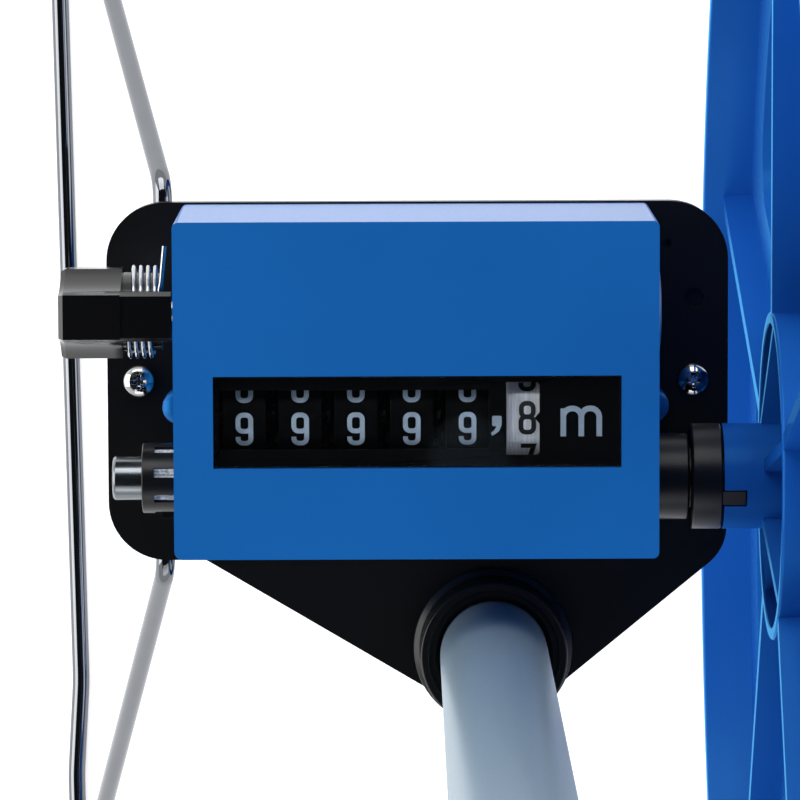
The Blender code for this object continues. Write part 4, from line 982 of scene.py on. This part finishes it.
def build_tube():
    axis = TUBE_PLACE
    foot, rim = extent("tube_socket")[0].z, extent("tube_socket")[1].z
    socket = turned("Z", axis, rounded([
        (foot, 8.4, 0), (foot, 16.4, 0.3), (foot + 2.2, 16.4, 0.5), (foot + 3.4, 15.0, 0.8), (rim, 15.0, 0.5),
        (rim, 13.3, 0.25), (rim - 1.1, 13.1, 0.1), (rim - 1.1, 12.1, 0.2), (rim - 2.0, 11.3, 0.2),
        (foot + 2.0, 11.3, 0), (foot + 2.0, 8.4, 0)], 22), 128)
    make_finish("tube_socket", socket, "black_moulding", "frame")
    low, high = extent("lower_tube")
    lower = tube("Z", axis, TUBE_RADIUS - 1.0, TUBE_RADIUS, low.z, high.z, 0.3, 128)
    make_finish("lower_tube", lower, "tube_silver", "frame")
    low, high = extent("upper_tube")
    upper = tube("Z", axis, 8.6, 9.6, low.z, high.z, 0.3, 96)
    make_finish("upper_tube", upper, "tube_silver", "handle")
    collet = turned("Z", axis, rounded([
        (442, 11.3, 0), (442, 14.0, 0.6), (474, 14.0, 0.4), (476, 13.0, 0.4), (494, 12.0, 0.4),
        (494, 9.95, 0.2), (472, 9.95, 0), (472, 11.3, 0)], 30), 96)
    make_finish("collet", collet, "black_moulding", "frame")


def fluted_collar():
    """The twist lock's collar, with flutes for the fingers."""
    low, high = extent("lock_collar")
    profile = rounded([
        (low.z, 14.4, 0.2), (low.z, 17.2, 0.5), (low.z + 2, 17.8, 0.5), (low.z + 5, 17.7, 0),
        (high.z - 5, 17.4, 0), (high.z - 3, 17.4, 0.5), (high.z, 15.8, 0.5), (high.z, 10.2, 0.3),
        (high.z - 4.5, 10.2, 0), (high.z - 4.5, 12.5, 0), (476.5, 13.4, 0), (475.5, 14.4, 0),
    ], 22)
    solid = turned("Z", TUBE_PLACE, profile, 192)
    bmesh.ops.subdivide_edges(
        solid, cuts=8, edges=[e for e in solid.edges if abs(e.verts[0].co.z - e.verts[1].co.z) > 25])
    flutes, flute_depth = 24, 0.9
    for vert in solid.verts:
        x, y = vert.co.x - TUBE_X, vert.co.y - TUBE_Y
        radius = math.hypot(x, y)
        along = (vert.co.z - low.z) / (high.z - low.z)
        if radius > 16.5 and 0.1 < along < 0.9:
            fade = min(1.0, (along - 0.1) * 8, (0.9 - along) * 8)
            wave = max(0.0, math.cos(math.atan2(y, x) * flutes)) ** 2
            share = 1 - flute_depth * fade * wave / radius
            vert.co.x, vert.co.y = TUBE_X + x * share, TUBE_Y + y * share
    return closed_up(solid)


def hand_grip():
    """A soft grip with two collars and finger rings between them."""
    low, high = extent("hand_grip")
    foot, head, bore = low.z, high.z, 9.9
    corners = [(foot, bore, 0), (foot, 14.6, 0.4), (foot + 2, 16.1, 0.8), (foot + 8, 16.1, 1.2),
               (foot + 12, 14.2, 1.5)]
    rings = 16
    first, last = foot + 16, head - 20
    for i in range(rings):
        place = first + (last - first) * (i + 0.5) / rings
        swell = 14.4 + 0.8 * math.sin(math.pi * (i + 0.5) / rings)
        corners += [(place - 1.6, swell - 0.9, 0.3), (place - 0.9, swell, 0.3),
                    (place + 0.9, swell, 0.3), (place + 1.6, swell - 0.9, 0.3)]
    corners += [(head - 14, 14.2, 1.5), (head - 8, 15.9, 1.2), (head, 15.6, 0.6), (head, bore, 0)]
    return turned("Z", TUBE_PLACE, rounded(corners, 30), 96)


def build_handle():
    make_finish("lock_collar", fluted_collar(), "black_moulding", "lock_collar")
    make_finish("hand_grip", hand_grip(), "grip_rubber", "handle")
    low, high = extent("grip_cap")
    seat = extent("hand_grip")[1].z + GAP
    cap = turned("Z", TUBE_PLACE, rounded([
        (low.z, 0, 0), (low.z, 8.3, 0.8), (seat, 8.3, 0), (seat, 15.4, 0.3), (seat + 2.7, 15.2, 2),
        (high.z - 2.0, 11.5, 4), (high.z, 4.0, 3), (high.z, 0, 0)], 15), 96)
    make_finish("grip_cap", cap, "black_moulding", "handle")


# ---- stage


def add_light(name, place, size, power, colour=(1, 1, 1)):
    """A soft box at a place in metres from the middle of the counter, facing it."""
    data = bpy.data.lights.new(name, "AREA")
    data.shape = "RECTANGLE"
    data.size, data.size_y = size
    data.energy = power
    data.color = colour
    light = bpy.data.objects.new(name, data)
    target = ORIGIN + Vector((0.0, 0.01, 0.0))
    light.location = target + Vector(place)
    light.rotation_euler = (-Vector(place)).to_track_quat("-Z", "Y").to_euler()
    bpy.context.scene.collection.objects.link(light)


def build_stage():
    floor_size = 9.0
    mesh = bpy.data.meshes.new("floor")
    edge = floor_size / 2
    mesh.from_pydata([(-edge, -edge, 0), (edge, -edge, 0), (edge, edge, 0), (-edge, edge, 0)], [],
                     [(0, 1, 2, 3)])
    floor = bpy.data.objects.new("floor", mesh)
    mesh.materials.append(make_look("pale_floor", (0.80, 0.80, 0.80), 0.9, grain=(40, 0.0), blotch=(3, 0.01),
                                    Emission_Color=(1, 1, 1, 1), Emission_Strength=0.6))
    bpy.context.scene.collection.objects.link(floor)
    world = bpy.data.worlds.new("studio")
    world.use_nodes = True
    tree = world.node_tree
    sky = tree.nodes["Background"]
    sky.inputs["Strength"].default_value = 1.0
    place = add_node(tree, "ShaderNodeTexCoord")
    split = add_node(tree, "ShaderNodeSeparateXYZ")
    ramp = add_node(tree, "ShaderNodeValToRGB")
    tree.links.new(place.outputs["Generated"], split.inputs["Vector"])
    tree.links.new(split.outputs["Z"], ramp.inputs["Fac"])
    tree.links.new(ramp.outputs["Color"], sky.inputs["Color"])
    near, far = ramp.color_ramp.elements
    near.position, near.color = 0.52, (1.0, 1.01, 1.03, 1)
    far.position, far.color = 0.70, (0.022, 0.024, 0.028, 1)
    bpy.context.scene.world = world
    add_light("left_box", (-1.45, 0.05, 0.58), (1.5, 1.2), 20)
    add_light("rear_box", (0.1, -1.3, 0.95), (1.5, 0.9), 5.5)
    add_light("fore_box", (-0.15, 1.2, 0.95), (1.5, 0.9), 15)
    add_light("right_box", (1.3, -0.1, 1.0), (1.0, 1.2), 6)


def build_camera():
    data = bpy.data.cameras.new("photo_camera")
    data.lens = CAMERA_LENS
    data.sensor_width = 36.0
    camera = bpy.data.objects.new("photo_camera", data)
    camera.location = ORIGIN + CAMERA_PLACE * MM
    camera.rotation_euler = (CAMERA_TILT, 0.0, CAMERA_ROLL)
    bpy.context.scene.collection.objects.link(camera)
    bpy.context.scene.camera = camera


def paint_frame():
    """Each CAD node that still shows takes the finish of its slot."""
    slots = {entry["node"]: entry["material_slot"] for entry in frame["record"]["subparts"]}
    for name, node in frame["nodes"].items():
        node.data.materials.clear()
        node.data.materials.append(LOOKS[slots[name]])


def main():
    build_camera()
    paint_frame()
    build_wheel()
    build_axle_bearings()
    build_plates()
    build_counter()
    build_lever()
    build_stand()
    build_tube()
    build_handle()
    build_stage()
    bpy.context.scene.view_settings.view_transform = "Standard"


main()
